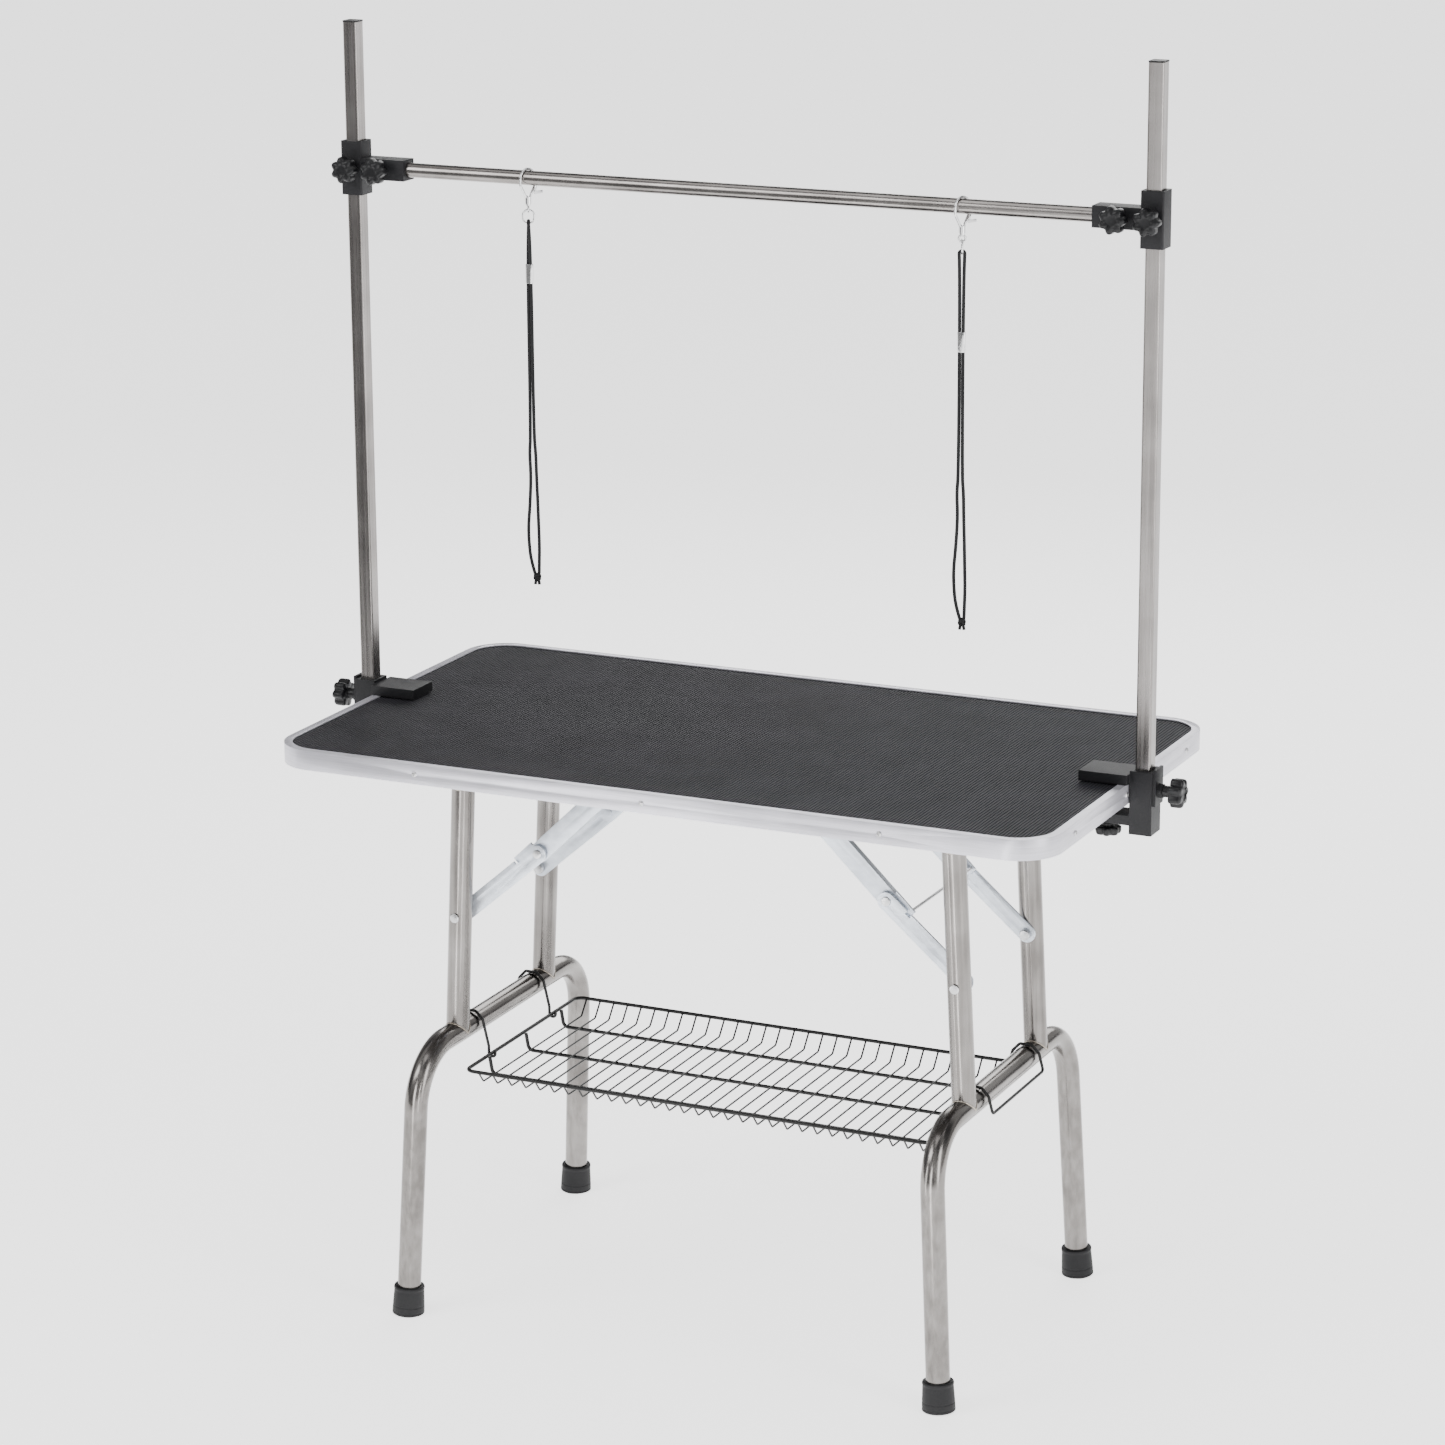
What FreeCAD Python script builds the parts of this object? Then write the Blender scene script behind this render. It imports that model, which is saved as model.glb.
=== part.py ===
import FreeCAD, Part
import Sketcher
import math
import os
import re

# Folding grooming table with an overhead bar, two nooses and a wire tray under the top.
# X runs along the table's length, Y across it (front is -Y) and Z up. The origin is on the
# floor under the middle of the top. Sizes are in millimetres and degrees.

doc = FreeCAD.newDocument("GroomingTable")
sheet = doc.addObject("Spreadsheet::Sheet", "Sizes")
SIZES = [
    # the top
    ("table_length", 1070), ("table_depth", 600), ("table_height", 777), ("corner_radius", 58),
    ("trim_height", 26), ("trim_wall", 2), ("trim_lip", 9), ("lip_thick", 1.6),
    ("board_thick", 19), ("mat_thick", 3.2), ("layer_gap", 0.2),
    ("screw_head_radius", 3.6), ("screw_head_thick", 1.8), ("screw_radius", 1.7),
    ("screw_length", 12), ("trim_screw_drop", 13), ("trim_screw_pitch", 320),
    ("end_screw_pitch", 200), ("end_screw_offset", -22),
    # leg frames
    ("splay", 2.84), ("pivot_inset", 189.7), ("pivot_drop", 67), ("pivot_tube_radius", 12.5),
    ("pivot_tube_half", 139.5), ("tube_radius", 15.5), ("tube_wall", 1.5), ("tube_spacing", 248),
    ("bow_drop", 352.4), ("foot_spacing", 490), ("bow_splay", 1.9), ("bend_radius", 75),
    ("foot_tall", 39), ("foot_top_radius", 19.5), ("foot_floor_radius", 21.5),
    ("foot_seat", 6),
    ("saddle_at", 70), ("saddle_thick", 4), ("saddle_radius", 16), ("saddle_reach", 30),
    ("plate_thick", 3), ("plate_wide", 20),
    # folding braces
    ("brace_drop", 189.2), ("joint_inset", 97.8), ("joint_drop", 164), ("upper_link_length", 175),
    ("upper_link_slope", 44), ("lower_link_wide", 24), ("upper_link_wide", 25),
    ("link_thick", 3), ("link_clearance", 0.8), ("joint_gap", 2.5), ("flange_wide", 10),
    ("flange_thick", 1.5), ("flange_from", 26), ("tail_long", 35), ("tail_wide", 13), ("tail_lift", 5),
    ("brace_pin_radius", 4), ("rivet_head_radius", 6), ("rivet_head_thick", 1.6),
    ("tie_rod_radius", 2), ("tie_rod_reach", 30.5), ("tie_rod_lift", 14.5),
    ("nut_tall", 8), ("nut_radius", 7), ("bolt_head_radius", 6.5), ("bolt_head_thick", 2.4),
    ("ear_radius", 12), ("tab_plate_long", 32), ("tab_plate_wide", 27),
    # posts, clamps and knobs
    ("post_wide", 20), ("post_wall", 1.5), ("post_round", 2.5), ("post_top", 1672),
    ("post_stand_off", 16), ("socket_gap", 0.2), ("jaw_reach", 63), ("jaw_wide", 52),
    ("jaw_thick", 13), ("clamp_wide", 34), ("clamp_rise", 17), ("clamp_fall", 65),
    ("clamp_back", 1.5), ("clamp_deep", 29.5), ("arm_reach", 50), ("arm_top", 41), ("arm_thick", 13),
    ("lug_thick", 4), ("lug_wide", 28), ("lug_tall", 47), ("lug_drop", 27),
    ("boss_radius", 9), ("boss_long", 6), ("clamp_wall", 7),
    ("post_knob_drop", 9), ("clamp_screw_inset", 32), ("pad_radius", 14), ("pad_thick", 4),
    ("knob_radius", 17.5), ("knob_thick", 12), ("hub_radius", 7.5), ("hub_long", 6),
    ("scallop_radius", 5), ("stud_radius", 4), ("stud_fit", 0.05), ("part_gap", 0.3),
    ("bar_height", 1482), ("bar_radius", 9.5), ("bar_wall", 1.5), ("bar_fit", 0.1),
    ("sleeve_wide", 30), ("sleeve_tall", 70), ("arm_long", 77), ("arm_tall", 27),
    ("bar_socket_deep", 50), ("bar_knob_inset", 43), ("cap_over", 0.5), ("cap_thick", 2), ("plug_tall", 12),
    # tray and its hangers
    ("rim_inset", 31.7), ("rim_drop", 38), ("rim_half_deep", 163), ("rim_wire_radius", 2.5),
    ("tray_deep", 23), ("wall_lean", 16), ("runner_spacing", 104), ("runner_radius", 2.5),
    ("runner_inset", 9),
    ("cross_wire_radius", 1.25), ("cross_wire_pitch", 21), ("hanger_radius", 2),
    ("hanger_half", 88), ("hanger_out", 24.3), ("bail_fall", 33),
    # nooses
    ("noose_spacing", 600), ("hook_radius", 1.6), ("hook_yaw", -20), ("hook_inner_radius", 11.2),
    ("ring_tall", 20), ("ring_wide", 17), ("ring_wire_radius", 1.2), ("cord_radius", 2.2),
    ("strand_offset", 2.4), ("slider_wall", 0.8), ("slider_tall", 25), ("knot_radius", 5.2),
    ("left_slider_drop", 124), ("right_slider_drop", 169),
]
for row, (alias, value) in enumerate(SIZES, 1):
    sheet.set(f"A{row}", alias)
    sheet.set(f"B{row}", str(value))
    sheet.setAlias(f"B{row}", alias)
doc.recompute()
NAMES = {alias for alias, value in SIZES}
WORD = re.compile(r"[a-z]\w*")
X, Y, Z = FreeCAD.Vector(1, 0, 0), FreeCAD.Vector(0, 1, 0), FreeCAD.Vector(0, 0, 1)
SIDES = (("left", -1), ("right", 1))
nodes = []


def size(name):
    """A driving size, for the shapes that are worked out in code."""
    return float(sheet.get(name))


def named(word):
    """A word of a rule, pointed at the sheet when it is the name of a size."""
    return "Sizes." + word.group(0) if word.group(0) in NAMES else word.group(0)


def bind(thing, **rules):
    """Binds properties to the sheet; place_x, place_y and place_z mean the placement."""
    for prop, rule in rules.items():
        prop = re.sub("^place_", "Placement.Base.", prop)
        thing.setExpression(prop, WORD.sub(named, str(rule)))
    return thing


def node(thing, label):
    """Marks an object as a finished sub-part, which is written to its own file."""
    thing.Label = label
    nodes.append(thing)
    return thing


def box(name, spans, low):
    """A box with bound sides and low corner."""
    return bind(doc.addObject("Part::Box", name), Length=spans[0], Width=spans[1], Height=spans[2],
                place_x=low[0], place_y=low[1], place_z=low[2])


def rod(name, radius, length, start, axis):
    """A round bar that begins at start and runs along axis."""
    bar = doc.addObject("Part::Cylinder", name)
    bar.Placement.Rotation = FreeCAD.Rotation(Z, axis)
    return bind(bar, Radius=radius, Height=length,
                place_x=start[0], place_y=start[1], place_z=start[2])


def fuse(name, pieces):
    """One solid from several that touch or overlap."""
    whole = doc.addObject("Part::MultiFuse", name)
    whole.Shapes = pieces
    return whole


def cut(name, base, tools):
    """The base with every tool taken out of it."""
    for count, tool in enumerate(tools):
        last = count == len(tools) - 1
        step = doc.addObject("Part::Cut", name if last else f"{name}_step{count}")
        step.Base, step.Tool = base, tool
        base = step
    return base


def solid(name, shape, placement=None):
    """A sub-part or tool whose shape is worked out in code from the sheet's sizes."""
    thing = doc.addObject("Part::Feature", name)
    thing.Shape = shape
    if placement:
        thing.Placement = placement
    return thing


def plane(body, role):
    """One of a body's own origin planes."""
    return next(f for f in body.Origin.OriginFeatures if f.Role == role)


def new_sketch(body, role, name):
    """An empty sketch on one of the body's origin planes."""
    sketch = body.newObject("Sketcher::SketchObject", name)
    sketch.AttachmentSupport = (plane(body, role), "")
    sketch.MapMode = "FlatFace"
    return sketch


def rectangle(body, name, wide, tall):
    """A rectangle about the origin of the body's XY plane, with bound sides."""
    sketch = new_sketch(body, "XY_Plane", name)
    ring = [FreeCAD.Vector(x, y, 0) for x, y in ((-9, -7), (9, -7), (9, 7), (-9, 7))]
    for start, end in zip(ring, ring[1:] + ring[:1]):
        sketch.addGeometry(Part.LineSegment(start, end))
    for line in range(4):
        sketch.addConstraint(Sketcher.Constraint("Coincident", line, 2, (line + 1) % 4, 1))
        level = "Vertical" if line % 2 else "Horizontal"
        sketch.addConstraint(Sketcher.Constraint(level, line))
    sketch.addConstraint(Sketcher.Constraint("Symmetric", 0, 1, 2, 1, -1, 1))
    across = sketch.addConstraint(Sketcher.Constraint("DistanceX", 0, 1, 0, 2, 18))
    along = sketch.addConstraint(Sketcher.Constraint("DistanceY", 1, 1, 1, 2, 14))
    return bind(sketch, **{f"Constraints[{across}]": wide, f"Constraints[{along}]": tall})


def circle(body, name, radius, lift="0", offset=None):
    """A circle on the body's XY plane, raised by lift and moved along X by offset."""
    sketch = new_sketch(body, "XY_Plane", name)
    middle = FreeCAD.Vector(10 if offset else 0, 0, 0)
    sketch.addGeometry(Part.Circle(middle, Z, 5))
    if offset:
        sketch.addConstraint(Sketcher.Constraint("PointOnObject", 0, 3, -1))
        away = sketch.addConstraint(Sketcher.Constraint("DistanceX", -1, 1, 0, 3, 10))
        bind(sketch, **{f"Constraints[{away}]": offset})
    else:
        sketch.addConstraint(Sketcher.Constraint("Coincident", 0, 3, -1, 1))
    round_size = sketch.addConstraint(Sketcher.Constraint("Radius", 0, 5))
    bind(sketch, **{f"Constraints[{round_size}]": radius})
    sketch.setExpression("AttachmentOffset.Base.z", WORD.sub(named, str(lift)))
    return sketch


def grow(body, kind, sketch, length, reverse=False):
    """A pad or pocket of a sketch with a bound length."""
    feature = body.newObject(f"PartDesign::{kind}", f"{sketch.Name}_{kind.lower()}")
    feature.Profile = sketch
    feature.Reversed = reverse
    return bind(feature, Length=length)


def slab(name, spans, low, radius):
    """A plate with rounded upright corners; low is the middle of its underside."""
    body = doc.addObject("PartDesign::Body", name)
    pad = grow(body, "Pad", rectangle(body, f"{name}_outline", spans[0], spans[1]), spans[2])
    doc.recompute()
    upright = [f"Edge{count}" for count, edge in enumerate(pad.Shape.Edges, 1)
               if abs(edge.tangentAt(edge.FirstParameter).z) > 0.9]
    corners = body.newObject("PartDesign::Fillet", f"{name}_corners")
    corners.Base = (pad, upright)
    bind(corners, Radius=radius)
    return bind(body, place_x=low[0], place_y=low[1], place_z=low[2])


def star_knob(name, radius, thick, hub, stud, stud_long, at, outward):
    """A moulded star knob with its stud; its hub starts at the placement, pointing outward."""
    body = doc.addObject("PartDesign::Body", name)
    grow(body, "Pad", circle(body, f"{name}_hub", "hub_radius"), hub)
    grow(body, "Pad", circle(body, f"{name}_stud", stud), stud_long, True)
    head = grow(body, "Pad", circle(body, f"{name}_head", radius, hub), thick)
    doc.recompute()
    high = head.Shape.BoundBox.ZMax
    rim = [f"Edge{count}" for count, edge in enumerate(head.Shape.Edges, 1)
           if edge.BoundBox.ZMin > high - 0.1 and edge.Length > 60]
    dome = body.newObject("PartDesign::Fillet", f"{name}_dome")
    dome.Base = (head, rim)
    bind(dome, Radius=f"({thick})/3")
    scallop = circle(body, f"{name}_scallop", "scallop_radius", "0", f"{radius} + scallop_radius/2.5")
    groove = grow(body, "Pocket", scallop, f"{hub} + {thick} + 1", True)
    pattern = body.newObject("PartDesign::PolarPattern", f"{name}_lobes")
    pattern.Originals = [groove]
    pattern.Axis = (plane(body, "Z_Axis"), [""])
    pattern.Angle = 360
    pattern.Occurrences = 7
    body.Tip = pattern
    body.Placement.Rotation = FreeCAD.Rotation(Z, outward)
    return bind(body, place_x=at[0], place_y=at[1], place_z=at[2])


def group(name, pieces):
    """Several separate solids of one kind kept together as one sub-part."""
    several = doc.addObject("Part::Compound", name)
    several.Links = pieces
    return several


def section(radius, wall, at, along):
    """The cross-section of a round wire, or of a tube when it has a wall."""
    face = Part.Face(Part.Wire(Part.makeCircle(radius, at, along)))
    if wall:
        face = face.cut(Part.Face(Part.Wire(Part.makeCircle(radius - wall, at, along)))).Faces[0]
    return face


def bent(points, bends, radius, wall=0, closed=False):
    """Round wire or tube in straight runs, with an arc tangent to both runs at every corner."""
    points = [FreeCAD.Vector(*point) for point in points]
    count = len(points)
    corners = range(count) if closed else range(1, count - 1)
    if not isinstance(bends, (list, tuple)):
        bends = [bends] * len(corners)
    arcs = []
    for corner, bend in zip(corners, bends):
        here = points[corner]
        before = (here - points[corner - 1]).normalize()
        after = (points[(corner + 1) % count] - here).normalize()
        turn = before.getAngle(after)
        reach = bend * math.tan(turn / 2)
        start, end = here - before * reach, here + after * reach
        middle = start + (after - before * before.dot(after)).normalize() * bend
        face = section(radius, wall, start, before)
        arcs.append((start, end, face.revolve(middle, before.cross(after), math.degrees(turn))))
    starts = ([arcs[-1][1]] if closed else [points[0]]) + [end for start, end, arc in arcs]
    stops = [start for start, end, arc in arcs] + ([] if closed else [points[-1]])
    solids = [arc for start, end, arc in arcs]
    for start, stop in zip(starts, stops):
        run = stop - start
        if run.Length > 0.01:
            face = section(radius, wall, start, FreeCAD.Vector(run).normalize())
            solids.append(face.extrude(run))
    whole = solids[0].fuse(solids[1:]) if len(solids) > 1 else solids[0]
    return whole.removeSplitter().Solids[0]


def cylinder(radius, start, end):
    """A plain round solid between two points."""
    run = FreeCAD.Vector(*end) - FreeCAD.Vector(*start)
    return Part.makeCylinder(radius, run.Length, FreeCAD.Vector(*start), run)


# Working values that several sub-parts share
BOARD_LOW = "table_height - trim_height + lip_thick + layer_gap"
PIVOT_X = "(table_length/2 - pivot_inset)"
PIVOT_Z = "(table_height - pivot_drop)"
half_long, half_deep, top = size("table_length") / 2, size("table_depth") / 2, size("table_height")
board_low = top - size("trim_height") + size("lip_thick") + size("layer_gap")
pivot_x, pivot_z = half_long - size("pivot_inset"), top - size("pivot_drop")
slope = math.radians(size("upper_link_slope"))
joint_x, joint_z = pivot_x - size("joint_inset"), top - size("joint_drop")
root_x = joint_x - size("upper_link_length") * math.cos(slope)
root_z = joint_z + size("upper_link_length") * math.sin(slope)
link_out = size("tube_spacing") / 2 - size("tube_radius") - size("link_clearance")
link_in = link_out - size("link_thick")
upper_out = link_in - size("joint_gap")
upper_in = upper_out - size("link_thick")
ear_out = upper_in - size("part_gap")
ear_in = ear_out - size("plate_thick")

# Table screws: into the board through the edge trim, and up through the bracket plates
screw_z = top - size("trim_screw_drop")
trim_screws = []
for face in (-1, 1):
    for along in (-size("trim_screw_pitch"), 0, size("trim_screw_pitch")):
        trim_screws.append(((along, face * half_deep, screw_z), (0, -face, 0)))
    for along in (-size("end_screw_pitch"), size("end_screw_offset"), size("end_screw_pitch")):
        trim_screws.append(((face * half_long, along, screw_z), (-face, 0, 0)))
plate_low = board_low - size("plate_thick")
plate_screws = []
for label, side in SIDES:
    for face in (-1, 1):
        for reach in (10, 28):
            middle = face * (size("saddle_at") - size("plate_wide") / 2)
            plate_screws.append(((side * (pivot_x + reach), middle, plate_low), (0, 0, 1)))
        for reach in (-10, 10):
            middle = face * (ear_in - 13)
            plate_screws.append(((side * root_x + reach, middle, plate_low), (0, 0, 1)))


def screw(start, along):
    """A pan-head screw: its head rests on start and its shank runs along the direction."""
    start, along = FreeCAD.Vector(*start), FreeCAD.Vector(*along)
    tall = size("screw_head_thick")
    head = Part.makeCylinder(size("screw_head_radius"), tall, start - along * tall, along)
    crown = [edge for edge in head.Edges if edge.Closed
             and (edge.BoundBox.Center - start).Length > 0.9 * tall]
    head = head.makeFillet(1.0, crown)
    return head.fuse(Part.makeCylinder(size("screw_radius"), size("screw_length"), start, along))


def screw_hole(start, along):
    """The drilled hole around one screw."""
    start, along = FreeCAD.Vector(*start), FreeCAD.Vector(*along)
    deep = size("screw_length") + 1
    return Part.makeCylinder(size("screw_radius") + 0.1, deep, start - along * 0.5, along)


trim_bores = solid("trim_bores", Part.makeCompound([screw_hole(*one) for one in trim_screws]))
plate_bores = solid("plate_bores", Part.makeCompound([screw_hole(*one) for one in plate_screws]))
node(solid("screws", Part.makeCompound([screw(*one) for one in trim_screws + plate_screws])),
     "table_screws")

# Table top: board, ribbed rubber mat, and the aluminium edge that holds both
inside_long = "table_length - 2*trim_wall - 2*layer_gap"
inside_deep = "table_depth - 2*trim_wall - 2*layer_gap"
inside_radius = "corner_radius - trim_wall - layer_gap"
board = slab("board_blank", (inside_long, inside_deep, "board_thick"), (0, 0, BOARD_LOW),
             inside_radius)
node(cut("board", board, [trim_bores, plate_bores]), "tabletop_board")
node(slab("mat", (inside_long, inside_deep, "mat_thick"),
          (0, 0, f"{BOARD_LOW} + board_thick + layer_gap"), inside_radius), "rubber_mat")
TRIM_LOW = "table_height - trim_height"
shell = slab("trim_shell", ("table_length", "table_depth", "trim_height"), (0, 0, TRIM_LOW),
             "corner_radius")
hollow = slab("trim_hollow", ("table_length - 2*trim_wall", "table_depth - 2*trim_wall",
                              "trim_height - 2*lip_thick"),
              (0, 0, f"{TRIM_LOW} + lip_thick"), "corner_radius - trim_wall")
mouth = slab("trim_mouth", ("table_length - 2*trim_wall - 2*trim_lip",
                            "table_depth - 2*trim_wall - 2*trim_lip", "trim_height + 2"),
             (0, 0, f"{TRIM_LOW} - 1"), "corner_radius - trim_wall - trim_lip")
node(cut("trim", shell, [hollow, mouth, trim_bores]), "edge_trim")

# Brackets under the board: saddles that the leg pivots turn in, and tabs for the braces
saddles = []
bridges = []
for label, side in SIDES:
    for face in (-1, 1):
        name = f"{label}_{'front' if face < 0 else 'back'}"
        at_x = f"{side}*{PIVOT_X}"
        ear_y = "saddle_at" if face > 0 else "-saddle_at - saddle_thick"
        plate_y = "saddle_at - plate_wide" if face > 0 else "-saddle_at - saddle_thick"
        ear_x = at_x if side > 0 else f"{at_x} - saddle_reach"
        plate_x = at_x if side > 0 else f"{at_x} - saddle_reach - 8"
        ear = box(f"{name}_ear", ("saddle_reach", "saddle_thick", f"{BOARD_LOW} - {PIVOT_Z}"),
                  (ear_x, ear_y, PIVOT_Z))
        eye = rod(f"{name}_eye", "saddle_radius", "saddle_thick", (at_x, ear_y, PIVOT_Z), Y)
        plate = box(f"{name}_plate", ("saddle_reach + 8", "plate_wide + saddle_thick", "plate_thick"),
                    (plate_x, plate_y, f"{BOARD_LOW} - plate_thick"))
        bore = rod(f"{name}_bore", "pivot_tube_radius + 0.08", "saddle_thick + 4",
                   (at_x, f"{ear_y} - 2", PIVOT_Z), Y)
        blank = fuse(f"{name}_saddle_blank", [ear, eye, plate])
        saddles.append(cut(f"{name}_saddle", blank, [bore, plate_bores]))
        near = min(face * ear_in, face * ear_out)
        low = min(face * (ear_in + 1 - size("tab_plate_wide")), face * (ear_in + 1))
        at_x = side * root_x
        tab = box(f"{name}_tab", ("2*ear_radius", "plate_thick", f"{BOARD_LOW} - {root_z}"),
                  (f"{at_x} - ear_radius", near, root_z))
        eye = rod(f"{name}_tab_eye", "ear_radius", "plate_thick", (at_x, near, root_z), Y)
        plate = box(f"{name}_tab_plate", ("tab_plate_long", "tab_plate_wide", "plate_thick"),
                    (f"{at_x} - tab_plate_long/2", low, f"{BOARD_LOW} - plate_thick"))
        pin = rod(f"{name}_tab_pin", "brace_pin_radius", upper_out + 1 - ear_in,
                  (at_x, face * ear_in, root_z), Y * face)
        head = rod(f"{name}_tab_head", "rivet_head_radius - 0.5", 1.7,
                   (at_x, face * (upper_out + size("part_gap")), root_z), Y * face)
        blank = fuse(f"{name}_bridge_blank", [tab, eye, plate, pin, head])
        bridges.append(cut(f"{name}_bridge", blank, [plate_bores]))
node(group("saddles", saddles), "hinge_brackets")
node(group("bridges", bridges), "brace_brackets")


def at_pivot(thing, side):
    """Puts a leg part, drawn hanging straight down from its pivot, in its splayed place."""
    thing.Placement.Rotation = FreeCAD.Rotation(Y, -side * size("splay"))
    return bind(thing, place_x=f"{side}*{PIVOT_X}", place_z=PIVOT_Z)


# Leg frames: pivot tube, two upper tubes, the bent lower bow and its rubber feet
splay, lean = math.radians(size("splay")), math.tan(math.radians(size("bow_splay")))
foot_y, bow_drop = size("foot_spacing") / 2, size("bow_drop")
leg_long = pivot_z / math.cos(splay)
corner_y = foot_y - (leg_long - bow_drop) * lean
outside = size("tube_spacing") / 2 + size("tube_radius")
nut_from = link_in - 0.5
for label, side in SIDES:
    tubes = []
    bolts = []
    for face in (-1, 1):
        name = f"{label}_{'front' if face < 0 else 'back'}"
        middle = f"{face}*tube_spacing/2"
        outer = rod(f"{name}_tube_blank", "tube_radius", "bow_drop", (0, middle, "-bow_drop"), Z)
        inner = rod(f"{name}_tube_core", "tube_radius - tube_wall", "bow_drop + 4",
                    (0, middle, "-bow_drop - 2"), Z)
        cope_top = rod(f"{name}_tube_top", "pivot_tube_radius + 0.05", 60,
                       (0, f"{middle} - 30", 0), Y)
        cope_low = rod(f"{name}_tube_low", "tube_radius + 0.05", 60,
                       (0, f"{middle} - 30", "-bow_drop"), Y)
        hole = rod(f"{name}_tube_hole", "brace_pin_radius + 0.05", 60,
                   (0, f"{middle} - 30", "-brace_drop"), Y)
        tubes.append(cut(f"{name}_tube", outer, [inner, cope_top, cope_low, hole]))
        shank = rod(f"{name}_bolt_shank", "brace_pin_radius", outside + 0.2 - nut_from,
                    (0, face * nut_from, "-brace_drop"), Y * face)
        head = rod(f"{name}_bolt_head", "bolt_head_radius", "bolt_head_thick",
                   (0, face * (outside + 0.1), "-brace_drop"), Y * face)
        nut = rod(f"{name}_bolt_nut", "nut_radius", "nut_tall",
                  (0, face * (nut_from + 0.01), "-brace_drop"), Y * -face)
        bolts.append(fuse(f"{name}_bolt", [shank, head, nut]))
    node(at_pivot(group(f"{label}_tubes", tubes), side), f"{label}_upper_tubes")
    node(at_pivot(group(f"{label}_bolts", bolts), side), f"{label}_brace_bolts")
    outer = rod(f"{label}_pivot_blank", "pivot_tube_radius", "2*pivot_tube_half",
                (0, "-pivot_tube_half", 0), Y)
    inner = rod(f"{label}_pivot_core", "pivot_tube_radius - tube_wall", "2*pivot_tube_half + 2",
                (0, "-pivot_tube_half - 1", 0), Y)
    node(at_pivot(cut(f"{label}_pivot", outer, [inner]), side), f"{label}_pivot_tube")
    seat = size("foot_seat")
    line = [(0, foot_y - lean * seat, seat - leg_long), (0, corner_y, -bow_drop),
            (0, -corner_y, -bow_drop), (0, lean * seat - foot_y, seat - leg_long)]
    bow = solid(f"{label}_bow", bent(line, size("bend_radius"), size("tube_radius"), size("tube_wall")))
    node(at_pivot(bow, side), f"{label}_lower_bow")
    feet = []
    for face in (-1, 1):
        ground = FreeCAD.Vector(side * (pivot_x + pivot_z * math.tan(splay)), face * foot_y, 0)
        leg_way = FreeCAD.Vector(-side * math.sin(splay), -face * lean, math.cos(splay)).normalize()
        cap = Part.makeCone(size("foot_floor_radius") + 0.2, size("foot_top_radius"),
                            size("foot_tall") + 4, ground - leg_way * 4, leg_way)
        lip = Part.makeTorus(size("foot_top_radius") - 1, 1.8,
                             ground + leg_way * (size("foot_tall") - 1.8), leg_way)
        bore = Part.makeCylinder(size("tube_radius") + 0.05, 60, ground + leg_way * (seat - 0.05), leg_way)
        floor = Part.makeBox(90, 90, 30, ground - FreeCAD.Vector(45, 45, 30))
        feet.append(cap.fuse(lip).cut(bore).cut(floor).Solids[0])
    node(solid(f"{label}_feet", Part.makeCompound(feet)), f"{label}_foot_caps")


def along_link(thing, start, end):
    """Turns a part drawn along X so that it runs from start towards end in the XZ plane."""
    heading = math.degrees(math.atan2(end[1] - start[1], end[0] - start[0]))
    thing.Placement = FreeCAD.Placement(FreeCAD.Vector(start[0], 0, start[1]),
                                        FreeCAD.Rotation(Y, -heading))
    return thing


def strip(name, length, wide, near):
    """The pieces of a flat link with round ends between two pivots; near is its low Y face."""
    middle = box(f"{name}_middle", (length, "link_thick", wide), (0, near, f"-({wide})/2"))
    start = rod(f"{name}_start", f"({wide})/2", "link_thick", (0, near, 0), Y)
    end = rod(f"{name}_end", f"({wide})/2", "link_thick", (length, near, 0), Y)
    return [middle, start, end]


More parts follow.
